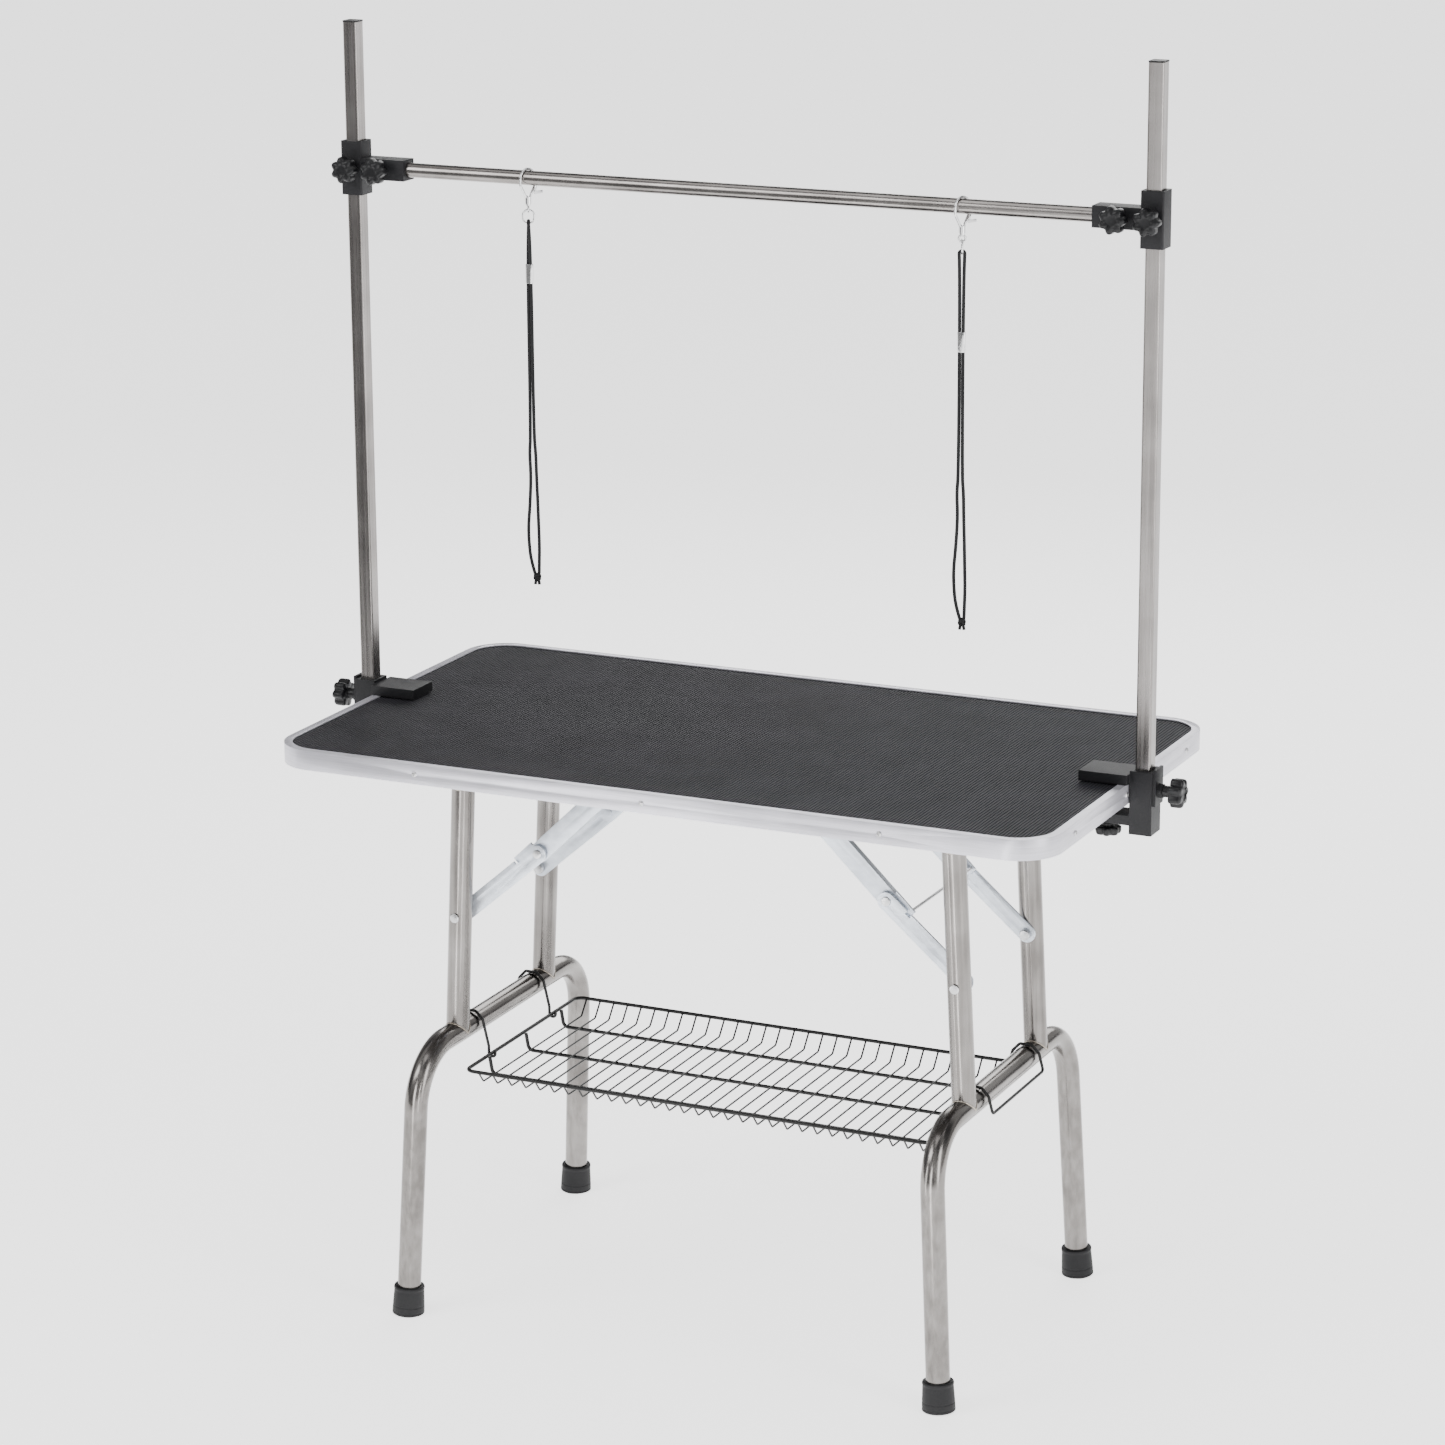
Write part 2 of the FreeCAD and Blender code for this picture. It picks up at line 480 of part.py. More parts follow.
# Folding braces: lower link, upper link with its rolled flange and tail, rivets and tie rod
low_long = math.hypot(size("joint_inset") + size("brace_drop") * math.sin(splay),
                      size("joint_drop") - size("pivot_drop") - size("brace_drop") * math.cos(splay))
top_long = size("upper_link_length")
for label, side in SIDES:
    ankle = (side * (pivot_x + size("brace_drop") * math.sin(splay)),
             pivot_z - size("brace_drop") * math.cos(splay))
    joint = (side * joint_x, joint_z)
    root = (side * root_x, root_z)
    lower, upper, rivets = [], [], []
    for face in (-1, 1):
        name = f"{label}_{'front' if face < 0 else 'back'}"
        near = link_in if face > 0 else -link_out
        blank = fuse(f"{name}_lower_blank", strip(f"{name}_lower", low_long, "lower_link_wide", near))
        hole = rod(f"{name}_lower_hole", "brace_pin_radius + 0.05", 20, (0, near - 8, 0), Y)
        eye = rod(f"{name}_lower_eye", 3.05, 20, (low_long, near - 8, 0), Y)
        notch_low = "lower_link_wide/2 - 5" if side < 0 else "-lower_link_wide/2 - 5"
        notch = box(f"{name}_lower_notch", (8, 20, 10), (low_long - 36, near - 8, notch_low))
        lower.append(cut(f"{name}_lower_link", blank, [hole, eye, notch]))
        near = upper_in if face > 0 else -upper_out
        pieces = strip(f"{name}_upper", top_long, "upper_link_wide", near)
        flange_y = f"{upper_out} - flange_wide" if face > 0 else -upper_out
        flange_z = "upper_link_wide/2" if side > 0 else "-upper_link_wide/2 - flange_thick"
        tail_z = "tail_lift" if side > 0 else "-tail_lift - tail_wide"
        pieces.append(box(f"{name}_upper_flange", (top_long + 2, "flange_wide", "flange_thick"),
                          ("flange_from", flange_y, flange_z)))
        pieces.append(box(f"{name}_upper_tail", ("tail_long", "link_thick", "tail_wide"),
                          (top_long, near, tail_z)))
        pieces.append(rod(f"{name}_upper_tip", 6, 1.6, (top_long, face * upper_in, 0), Y * -face))
        hole = rod(f"{name}_upper_hole", "brace_pin_radius + 0.05", 20, (0, near - 8, 0), Y)
        upper.append(cut(f"{name}_upper_link", fuse(f"{name}_upper_blank", pieces), [hole]))
        shank = rod(f"{name}_rivet_shank", 3, "link_thick + 0.4",
                    (low_long, face * (link_in - 0.2), 0), Y * face)
        head = rod(f"{name}_rivet_head", "rivet_head_radius", "rivet_head_thick",
                   (low_long, face * link_out, 0), Y * face)
        washer = rod(f"{name}_rivet_washer", 8, "joint_gap - 0.5", (low_long, face * link_in, 0),
                     Y * -face)
        rivets.append(fuse(f"{name}_rivet", [shank, head, washer]))
    node(along_link(group(f"{label}_lower_pair", lower), ankle, joint), f"{label}_lower_links")
    node(along_link(group(f"{label}_rivet_pair", rivets), ankle, joint), f"{label}_joint_rivets")
    node(along_link(group(f"{label}_upper_pair", upper), root, joint), f"{label}_upper_links")
    tie = group(f"{label}_tie", [rod(f"{label}_tie_bar", "tie_rod_radius", 2 * upper_in,
                                     (f"{top_long} + tie_rod_reach", -upper_in,
                                      f"{side}*tie_rod_lift"), Y)])
    node(along_link(tie, root, joint), f"{label}_tie_rod")


def outward(side, near, far):
    """Length and low end of an X span measured from the table's end towards the outside."""
    low = f"table_length/2 + {near}" if side > 0 else f"-table_length/2 - ({far})"
    return f"({far}) - ({near})", low


def square_tube(name, wide, wall, spans_z, at_x, rounding):
    """A standing square tube with rounded corners."""
    blank = slab(f"{name}_blank", (wide, wide, spans_z[1]), (at_x, 0, spans_z[0]), rounding)
    core = slab(f"{name}_core", (f"{wide} - 2*{wall}", f"{wide} - 2*{wall}", f"({spans_z[1]}) + 4"),
                (at_x, 0, f"({spans_z[0]}) - 2"), f"{rounding}/2")
    return cut(name, blank, [core])


# End clamps, posts and caps
POST_X = "(table_length/2 + post_stand_off)"
POST_LOW = "(table_height - clamp_fall + clamp_wall)"
post_x = half_long + size("post_stand_off")
caps = []
for label, side in SIDES:
    at_x = f"{side}*{POST_X}"
    long, low = outward(side, "-jaw_reach", "clamp_back")
    jaw = box(f"{label}_jaw", (long, "jaw_wide", "jaw_thick"), (low, "-jaw_wide/2", "table_height"))
    long, low = outward(side, "clamp_back", "clamp_back + clamp_deep")
    block = box(f"{label}_block", (long, "clamp_wide", "clamp_rise + clamp_fall"),
                (low, "-clamp_wide/2", "table_height - clamp_fall"))
    long, low = outward(side, "-arm_reach", "clamp_back")
    arm = box(f"{label}_arm", (long, "clamp_wide", "arm_thick"),
              (low, "-clamp_wide/2", "table_height - arm_top - arm_thick"))
    long, low = outward(side, "clamp_back + clamp_deep", "clamp_back + clamp_deep + lug_thick")
    lug = box(f"{label}_lug", (long, "lug_wide", "lug_tall"),
              (low, "-lug_wide/2", "table_height - lug_drop"))
    knob_z = "table_height - post_knob_drop"
    boss_from = half_long + size("clamp_back") + size("clamp_deep") + size("lug_thick")
    boss = rod(f"{label}_boss", "boss_radius", "boss_long", (side * boss_from, 0, knob_z), X * side)
    socket = box(f"{label}_socket", ("post_wide + 2*socket_gap", "post_wide + 2*socket_gap", 120),
                 (f"{at_x} - post_wide/2 - socket_gap", "-post_wide/2 - socket_gap",
                  f"{POST_LOW} - part_gap"))
    stud_hole = rod(f"{label}_stud_hole", "stud_radius + stud_fit", 60, (side * post_x, 0, knob_z),
                    X * side)
    screw_x = f"{side}*(table_length/2 - clamp_screw_inset)"
    screw_way = rod(f"{label}_screw_way", "5 + stud_fit", 40,
                    (screw_x, 0, "table_height - arm_top - arm_thick - 10"), Z)
    blank = fuse(f"{label}_clamp_blank", [jaw, block, arm, lug, boss])
    node(cut(f"{label}_clamp_body", blank, [socket, stud_hole, screw_way]), f"{label}_clamp")
    pad = rod(f"{label}_pad", "pad_radius", "pad_thick",
              (screw_x, 0, f"{BOARD_LOW} - part_gap - pad_thick"), Z)
    node(pad, f"{label}_clamp_pad")
    hub_top = "table_height - arm_top - arm_thick - 4"
    stud_long = f"{BOARD_LOW} - part_gap - pad_thick - ({hub_top})"
    node(star_knob(f"{label}_clamp_knob", "knob_radius - 0.5", "11", "4", "5", stud_long,
                   (screw_x, 0, hub_top), Z * -1), f"{label}_clamp_screw")
    stud_from = boss_from + size("boss_long") + size("part_gap")
    stud_to = post_x + size("post_wide") / 2 + size("part_gap")
    node(star_knob(f"{label}_lock_knob", "knob_radius + 1.5", "17", "10", "stud_radius",
                   stud_from - stud_to, (side * stud_from, 0, knob_z), X * side), f"{label}_post_knob")
    tall = f"post_top - cap_thick - {POST_LOW}"
    node(square_tube(f"{label}_post_tube", "post_wide", "post_wall", (POST_LOW, tall), at_x,
                     "post_round"), f"{label}_post")
    cover_wide = "post_wide + 2*cap_over"
    cover = slab(f"{label}_cap_cover", (cover_wide, cover_wide, "cap_thick"),
                 (at_x, 0, "post_top - cap_thick"), "post_round + cap_over")
    plug_wide = "post_wide - 2*post_wall - 0.4"
    plug = slab(f"{label}_cap_plug", (plug_wide, plug_wide, "plug_tall"),
                (at_x, 0, "post_top - cap_thick - plug_tall"), "post_round/2")
    caps.append(fuse(f"{label}_cap", [cover, plug]))
node(group("caps", caps), "post_caps")

# Overhead bar, the brackets that slide on the posts, and their star knobs
bar_z = size("bar_height")
arm_end = post_x - size("arm_long")
bar_half = arm_end + size("bar_socket_deep")
bar = rod("bar_blank", "bar_radius", 2 * bar_half, (-bar_half, 0, "bar_height"), X)
core = rod("bar_core", "bar_radius - bar_wall", 2 * bar_half + 4, (-bar_half - 2, 0, "bar_height"), X)
node(cut("bar", bar, [core]), "crossbar")
for label, side in SIDES:
    at_x = f"{side}*{POST_X}"
    sleeve = slab(f"{label}_sleeve", ("sleeve_wide", "sleeve_wide", "sleeve_tall"),
                  (at_x, 0, "bar_height - sleeve_tall/2"), "post_round")
    arm_x = f"{at_x} - arm_long" if side > 0 else at_x
    arm = box(f"{label}_reach", ("arm_long", "sleeve_wide - 2", "arm_tall"),
              (arm_x, "1 - sleeve_wide/2", "bar_height - arm_tall/2"))
    socket = box(f"{label}_way", ("post_wide + 2*socket_gap", "post_wide + 2*socket_gap", 120),
                 (f"{at_x} - post_wide/2 - socket_gap", "-post_wide/2 - socket_gap", "bar_height - 60"))
    bore = rod(f"{label}_bar_bore", "bar_radius + bar_fit", "bar_socket_deep + part_gap + 1",
               (side * (arm_end - 1), 0, "bar_height"), X * side)
    outer_hole = rod(f"{label}_post_hole", "stud_radius + stud_fit", 40, (at_x, 0, "bar_height"), Y * -1)
    inner_hole = rod(f"{label}_bar_hole", "stud_radius + stud_fit", 40,
                     (f"{at_x} - {side}*bar_knob_inset", 0, "bar_height"), Y * -1)
    blank = fuse(f"{label}_bracket_blank", [sleeve, arm])
    node(cut(f"{label}_bracket", blank, [socket, bore, outer_hole, inner_hole]), f"{label}_bar_bracket")
    face_y = -size("sleeve_wide") / 2 - size("part_gap")
    grip = f"{-face_y} - post_wide/2 - part_gap"
    node(star_knob(f"{label}_sleeve_knob", "knob_radius", "knob_thick + 4", "hub_long + 4", "stud_radius",
                   grip, (at_x, face_y, "bar_height"), Y * -1), f"{label}_collar_knob")
    grip = f"{-face_y} - bar_radius - part_gap"
    node(star_knob(f"{label}_arm_knob", "knob_radius", "knob_thick + 4", "hub_long + 4", "stud_radius",
                   grip, (f"{at_x} - {side}*bar_knob_inset", face_y, "bar_height"), Y * -1),
         f"{label}_bar_knob")

# Wire tray: rim, long runners, thin cross wires, and the two hangers over the leg bows
bow_x = pivot_x + bow_drop * math.sin(splay)
bow_z = pivot_z - bow_drop * math.cos(splay)
rim_x, rim_y, rim_z = bow_x - size("rim_inset"), size("rim_half_deep"), bow_z - size("rim_drop")
tray_z = rim_z - size("tray_deep")
rim_r, thin_r = size("rim_wire_radius"), size("cross_wire_radius")
ring = [(-rim_x, -rim_y, rim_z), (rim_x, -rim_y, rim_z), (rim_x, rim_y, rim_z), (-rim_x, rim_y, rim_z)]
node(solid("rim", bent(ring, 12, rim_r, closed=True)), "basket_rim")
touch = rim_r + size("runner_radius") + 0.02
runners = []
for along in (-size("runner_spacing"), 0, size("runner_spacing")):
    low_x = rim_x - size("runner_inset")
    line = [(touch - rim_x, along, rim_z), (-low_x, along, tray_z), (low_x, along, tray_z),
            (rim_x - touch, along, rim_z)]
    runners.append(bent(line, 8, size("runner_radius")))
node(solid("runners", Part.makeCompound(runners)), "basket_long_wires")
rest = tray_z + size("runner_radius") + thin_r + 0.02
edge_y = rim_y - rim_r - thin_r - 0.02
flat_y = edge_y - size("wall_lean")
wires = []
steps = int((rim_x - 16) / size("cross_wire_pitch"))
for step in range(-steps, steps + 1):
    along = step * size("cross_wire_pitch")
    line = [(along, -edge_y, rim_z), (along, -flat_y, rest), (along, flat_y, rest), (along, edge_y, rim_z)]
    wires.append(bent(line, 5, thin_r))
node(solid("cross_wires", Part.makeCompound(wires)), "basket_cross_wires")
hook_r = size("hanger_radius")
clear = size("tube_radius") + hook_r + size("part_gap")
hug = rim_r + hook_r + 0.3
hangers = []
for label, side in SIDES:
    profile = [(rim_x - hug, rim_z + 4), (rim_x - hug, rim_z - hug), (rim_x + hug, rim_z - hug),
               (rim_x + hug, rim_z + 9), (bow_x - clear - 0.8, bow_z + 0.4 * clear),
               (bow_x - 0.48 * clear, bow_z + clear), (bow_x + 0.48 * clear, bow_z + clear),
               (bow_x + clear + 0.8, bow_z + 0.4 * clear),
               (bow_x + size("hanger_out"), bow_z + clear - size("bail_fall"))]
    half = size("hanger_half")
    line = [(side * x, -half, z) for x, z in profile] + [(side * x, half, z) for x, z in profile[::-1]]
    hangers.append(bent(line, 4.5, hook_r))
node(solid("hangers", Part.makeCompound(hangers)), "basket_hangers")

# Nooses: snap hook on the bar, swivel, oval ring, doubled cord with its slider, and the knot
STRANDS = ((1144, -2.4, 2.4), (1123, -4.6, 4.6), (1092, -3.0, 5.1), (1052, -5.3, 6.4), (1025, -8.1, 7.0),
           (1001, -7.6, 7.6), (978, -5.0, 7.0))
cord_r, off = size("cord_radius"), size("strand_offset")
hook_mid = bar_z - size("hook_inner_radius") + size("bar_radius") + size("part_gap")
hook_reach = size("hook_inner_radius") + size("hook_radius")
for label, side in SIDES:
    at_x = side * size("noose_spacing") / 2
    origin = FreeCAD.Vector(at_x, 0, 0)
    turned = FreeCAD.Placement(origin, FreeCAD.Rotation(Z, size("hook_yaw")))
    loop = [(0, -hook_reach, hook_mid + hook_reach), (0, hook_reach, hook_mid + hook_reach),
            (0, hook_reach, hook_mid - 8), (0, 3, hook_mid - 24), (0, -3, hook_mid - 24),
            (0, -hook_reach, hook_mid - 8)]
    eye_z = hook_mid - 24
    wire = bent(loop, [12.7, 12.7, 6, 2, 2, 6], size("hook_radius"), closed=True)
    barrel = cylinder(4.2, (0, 0, eye_z - 8), (0, 0, eye_z + 1))
    pin_y, pin_z = 8.6, hook_mid - 16.3
    pin = cylinder(1.1, (0, pin_y, pin_z), (4.6, pin_y, pin_z))
    bore = cylinder(1.55, (0, 0, eye_z - 9), (0, 0, eye_z + 4))
    hook = wire.fuse([barrel, pin]).cut(bore).Solids[0]
    node(solid(f"{label}_hook", hook, turned), f"{label}_snap_hook")
    plate = cylinder(2.8, (2.2, pin_y, pin_z), (3.9, pin_y, pin_z))
    thumb = Part.makeBox(1.7, 13.5, 3.6, FreeCAD.Vector(2.2, pin_y, pin_z - 4))
    gate = Part.makeBox(1.7, 2.8, 9, FreeCAD.Vector(2.2, pin_y - 1.4, pin_z))
    gate.rotate(FreeCAD.Vector(2.2, pin_y, pin_z), X, -18)
    lever = plate.fuse([thumb, gate]).cut(cylinder(1.15, (0, pin_y, pin_z), (6, pin_y, pin_z)))
    node(solid(f"{label}_lever", lever.Solids[0], turned), f"{label}_snap_trigger")
    fork_z = eye_z - 14.6
    stem = cylinder(1.5, (0, 0, fork_z + 4), (0, 0, eye_z + 2))
    crown = cylinder(2, (0, 0, eye_z + 1.9), (0, 0, eye_z + 2.9))
    collar = cylinder(3.2, (0, 0, eye_z - 10), (0, 0, eye_z - 8.3))
    ring_yaw = 25 if side > 0 else -65
    eye = Part.makeTorus(4.2, 1.4, FreeCAD.Vector(0, 0, fork_z), Y)
    swivel = stem.fuse([crown, collar, eye])
    facing = FreeCAD.Placement(origin, FreeCAD.Rotation(Z, ring_yaw))
    node(solid(f"{label}_swivel_body", swivel.Solids[0], facing), f"{label}_swivel")
    wire_r = size("ring_wire_radius")
    ring_top = fork_z - 4.2 + 1.4 + wire_r + 0.3
    ring_low = ring_top - size("ring_tall") + 2 * wire_r
    wide = size("ring_wide") / 2 - wire_r
    oval = [(0, -wide, ring_top), (0, wide, ring_top), (0, wide, ring_low), (0, -wide, ring_low)]
    node(solid(f"{label}_oval", bent(oval, wide - 0.05, wire_r, closed=True), facing), f"{label}_ring")
    spread = cord_r + wire_r + 0.1
    across = FreeCAD.Rotation(Z, ring_yaw).multVec(X) * spread
    bight = Part.makeTorus(spread, cord_r, FreeCAD.Vector(0, 0, ring_low), Y)
    bight = bight.cut(Part.makeBox(40, 40, 40, FreeCAD.Vector(-20, -20, ring_low - 40)))
    bight.Placement = FreeCAD.Placement(FreeCAD.Vector(0, 0, 0), FreeCAD.Rotation(Z, ring_yaw))
    shift = bar_z - 1482
    knot_z = shift + 957
    pieces = [bight]
    ends = {-1: (0.5, shift + 961.5), 1: (6.5, shift + 962.3)}
    for hand in (-1, 1):
        line = [(hand * across.x, hand * across.y, ring_low), (hand * off, 0, ring_low - 24)]
        for height, left_x, right_x in STRANDS:
            line.append((right_x if hand > 0 else left_x, 0, shift + height))
        line.append((ends[hand][0], 0, ends[hand][1]))
        bends = []
        for before, here, after in zip(line, line[1:], line[2:]):
            before, here, after = (FreeCAD.Vector(*point) for point in (before, here, after))
            turn = (here - before).getAngle(after - here)
            shorter = min((here - before).Length, (after - here).Length)
            bends.append(0.45 * shorter / math.tan(turn / 2))
        strand = bent(line, bends, cord_r)
        length = sum((FreeCAD.Vector(*b) - FreeCAD.Vector(*a)).Length for a, b in zip(line, line[1:]))
        print(label, "strand", round(length, 1), "volume", round(strand.Volume / math.pi / cord_r ** 2, 1),
              "radii", [round(bend) for bend in bends])
        pieces.append(strand)
    doubled = pieces[0].fuse(pieces[1:])
    node(solid(f"{label}_strands", Part.makeCompound(doubled.Solids),
               FreeCAD.Placement(origin, FreeCAD.Rotation())), f"{label}_cord")
    slider_low = bar_z - size(f"{label}_slider_drop") - size("slider_tall") / 2
    wall = size("slider_wall")
    half_wide, half_thick = off + cord_r + 0.1 + wall, cord_r + 0.1 + wall
    blank = Part.makeBox(2 * (half_wide - half_thick), 2 * half_thick, size("slider_tall"),
                         FreeCAD.Vector(half_thick - half_wide, -half_thick, slider_low))
    tools = []
    for hand in (-1, 1):
        end_x = hand * (half_wide - half_thick)
        blank = blank.fuse(cylinder(half_thick, (end_x, 0, slider_low),
                                    (end_x, 0, slider_low + size("slider_tall"))))
        tools.append(cylinder(cord_r + 0.1, (hand * off, 0, slider_low - 5),
                              (hand * off, 0, slider_low + size("slider_tall") + 5)))
    node(solid(f"{label}_slide", blank.cut(tools).Solids[0], FreeCAD.Placement(origin, FreeCAD.Rotation())),
         f"{label}_slider")
    ball = Part.makeSphere(size("knot_radius"), FreeCAD.Vector(4.2, 0, knot_z))
    tails = [cylinder(2, (4.2 + hand * 2.4, 0, knot_z - 4), (4.2 + hand * 3.4, 0, knot_z - 10))
             for hand in (-1, 1)]
    knot = ball.fuse(tails).cut(pieces[1:])
    node(solid(f"{label}_knot_ball", knot.Solids[0], FreeCAD.Placement(origin, FreeCAD.Rotation())),
         f"{label}_knot")

doc.recompute()
os.makedirs("parts", exist_ok=True)
for thing in nodes:
    if {"Invalid", "Error"} & set(thing.State):
        raise RuntimeError(f"{thing.Label} did not build")
    if thing.Shape.isNull() or not thing.Shape.isValid():
        raise RuntimeError(f"{thing.Label} has no valid shape")
    thing.Shape.exportStep(f"parts/{thing.Label}.step")
    print(thing.Label, len(thing.Shape.Solids), round(thing.Shape.Volume))
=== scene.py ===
import math

import bmesh
import bpy
from mathutils import Matrix, Vector


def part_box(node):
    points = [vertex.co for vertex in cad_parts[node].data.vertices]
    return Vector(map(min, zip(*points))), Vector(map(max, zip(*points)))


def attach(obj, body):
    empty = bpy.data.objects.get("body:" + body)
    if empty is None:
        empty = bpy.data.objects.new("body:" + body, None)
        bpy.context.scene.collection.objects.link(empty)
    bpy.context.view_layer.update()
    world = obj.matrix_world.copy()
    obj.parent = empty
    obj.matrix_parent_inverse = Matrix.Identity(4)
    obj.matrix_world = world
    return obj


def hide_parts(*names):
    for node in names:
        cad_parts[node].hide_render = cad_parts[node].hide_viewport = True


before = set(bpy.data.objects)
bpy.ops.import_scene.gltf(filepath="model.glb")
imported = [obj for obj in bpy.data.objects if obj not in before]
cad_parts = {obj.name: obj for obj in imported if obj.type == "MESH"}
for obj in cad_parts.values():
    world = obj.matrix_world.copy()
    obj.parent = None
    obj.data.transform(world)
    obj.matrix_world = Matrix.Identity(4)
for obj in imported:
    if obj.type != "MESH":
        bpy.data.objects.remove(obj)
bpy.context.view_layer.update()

# The studio: a pale self-lit floor, large soft lights above and at the sides, a dim surround, and
# dark and bright cards in front that only show as reflections in the steel.
AZIMUTH, ELEVATION, ROLL = math.radians(25.26), math.radians(15.45), math.radians(-0.38)
CAMERA_SPOT = (2.367, -5.079, 2.341)
LENS_LONG = 112.0
SENSOR_WIDE = 36
back = Vector((math.sin(AZIMUTH) * math.cos(ELEVATION), -math.cos(AZIMUTH) * math.cos(ELEVATION),
               math.sin(ELEVATION)))
level = (-back).cross(Vector((0, 0, 1))).normalized()
upward = level.cross(-back)
camera = bpy.data.objects.new("camera", bpy.data.cameras.new("camera"))
bpy.context.scene.collection.objects.link(camera)
camera.data.lens = LENS_LONG
camera.data.sensor_width = SENSOR_WIDE
camera.data.clip_end = 100
across_view = level * math.cos(ROLL) + upward * math.sin(ROLL)
up_view = upward * math.cos(ROLL) - level * math.sin(ROLL)
turn = Matrix((across_view, up_view, back)).transposed().to_4x4()
camera.matrix_world = Matrix.Translation(CAMERA_SPOT) @ turn
bpy.context.scene.camera = camera


def studio_sheet(name, corners, tone, glow):
    """A flat matt sheet of the studio, grey in tone and glowing white."""
    mesh = bpy.data.meshes.new(name)
    mesh.from_pydata(corners, [], [(0, 1, 2, 3)])
    sheet = bpy.data.objects.new(name, mesh)
    bpy.context.scene.collection.objects.link(sheet)
    paint = bpy.data.materials.new(f"{name}_paint")
    paint.use_nodes = True
    skin = paint.node_tree.nodes["Principled BSDF"]
    skin.inputs["Base Color"].default_value = (tone, tone, tone, 1)
    skin.inputs["Roughness"].default_value = 0.9
    skin.inputs["Emission Color"].default_value = (1, 1, 1, 1)
    skin.inputs["Emission Strength"].default_value = glow
    mesh.materials.append(paint)
    return sheet


FLOOR_HALF = 60
FLOOR_GAP = 0.0005
FLOOR_GLOW = 1.9
floor = studio_sheet("floor", [(-FLOOR_HALF, -FLOOR_HALF, 0), (FLOOR_HALF, -FLOOR_HALF, 0),
                               (FLOOR_HALF, FLOOR_HALF, 0), (-FLOOR_HALF, FLOOR_HALF, 0)], 0.92, FLOOR_GLOW)
floor.location.z = -FLOOR_GAP
for name, left, right, away, tall, tone, glow in (("dark_card", -3.4, -0.35, -1.9, 1.7, 0.14, 0),
                                                 ("left_bright_card", -0.43, -0.29, -1.0, 0.72, 0.8, 9),
                                                 ("right_bright_card", 0.34, 0.48, -1.0, 0.72, 0.8, 9)):
    card = studio_sheet(name, [(left, away, 0), (right, away, 0), (right, away, tall), (left, away, tall)],
                        tone, glow)
    card.visible_camera = False
    card.visible_shadow = False
    card.visible_diffuse = False

LAMP_AIM = Vector((0, 0, 0.8))
for name, place, wide, tall, watts in (("key", (-2.6, -3.4, 3.6), 2.4, 2.4, 110),
                                       ("side", (3.9, -1.4, 1.8), 1.2, 3.2, 70),
                                       ("rear", (-0.8, 3.9, 2.6), 3.4, 1.6, 70),
                                       ("top", (0.2, -0.2, 4.6), 3.6, 3.0, 60)):
    lamp = bpy.data.lights.new(name, "AREA")
    lamp.shape = "RECTANGLE"
    lamp.size = wide
    lamp.size_y = tall
    lamp.energy = watts
    lamp_object = bpy.data.objects.new(name, lamp)
    lamp_object.location = place
    lamp_object.rotation_euler = (LAMP_AIM - Vector(place)).to_track_quat("-Z", "Y").to_euler()
    bpy.context.scene.collection.objects.link(lamp_object)

SURROUND_STRENGTH = 0.7
surround = bpy.data.worlds.new("surround")
surround.use_nodes = True
sky = surround.node_tree
way = sky.nodes.new("ShaderNodeTexCoord")
bands = sky.nodes.new("ShaderNodeTexNoise")
bands.inputs["Scale"].default_value = 1.6
bands.inputs["Detail"].default_value = 0
tones = sky.nodes.new("ShaderNodeValToRGB")
tones.color_ramp.elements[0].position = 0.40
tones.color_ramp.elements[0].color = (0.18, 0.18, 0.19, 1)
tones.color_ramp.elements[1].position = 0.58
tones.color_ramp.elements[1].color = (1, 1, 1, 1)
sky.links.new(way.outputs["Generated"], bands.inputs["Vector"])
sky.links.new(bands.outputs["Fac"], tones.inputs["Fac"])
sky.links.new(tones.outputs["Color"], sky.nodes["Background"].inputs["Color"])
sky.nodes["Background"].inputs["Strength"].default_value = SURROUND_STRENGTH
bpy.context.scene.world = surround


# Noose cords: each is one black braided nylon cord, doubled over the oval ring and tied off in
# a knot, so two strands hang side by side. They hang under their own weight from the bar.
SHINE = 0.3
CLOUD_GRAIN = 14
RELIEF_DEEP = 0.001


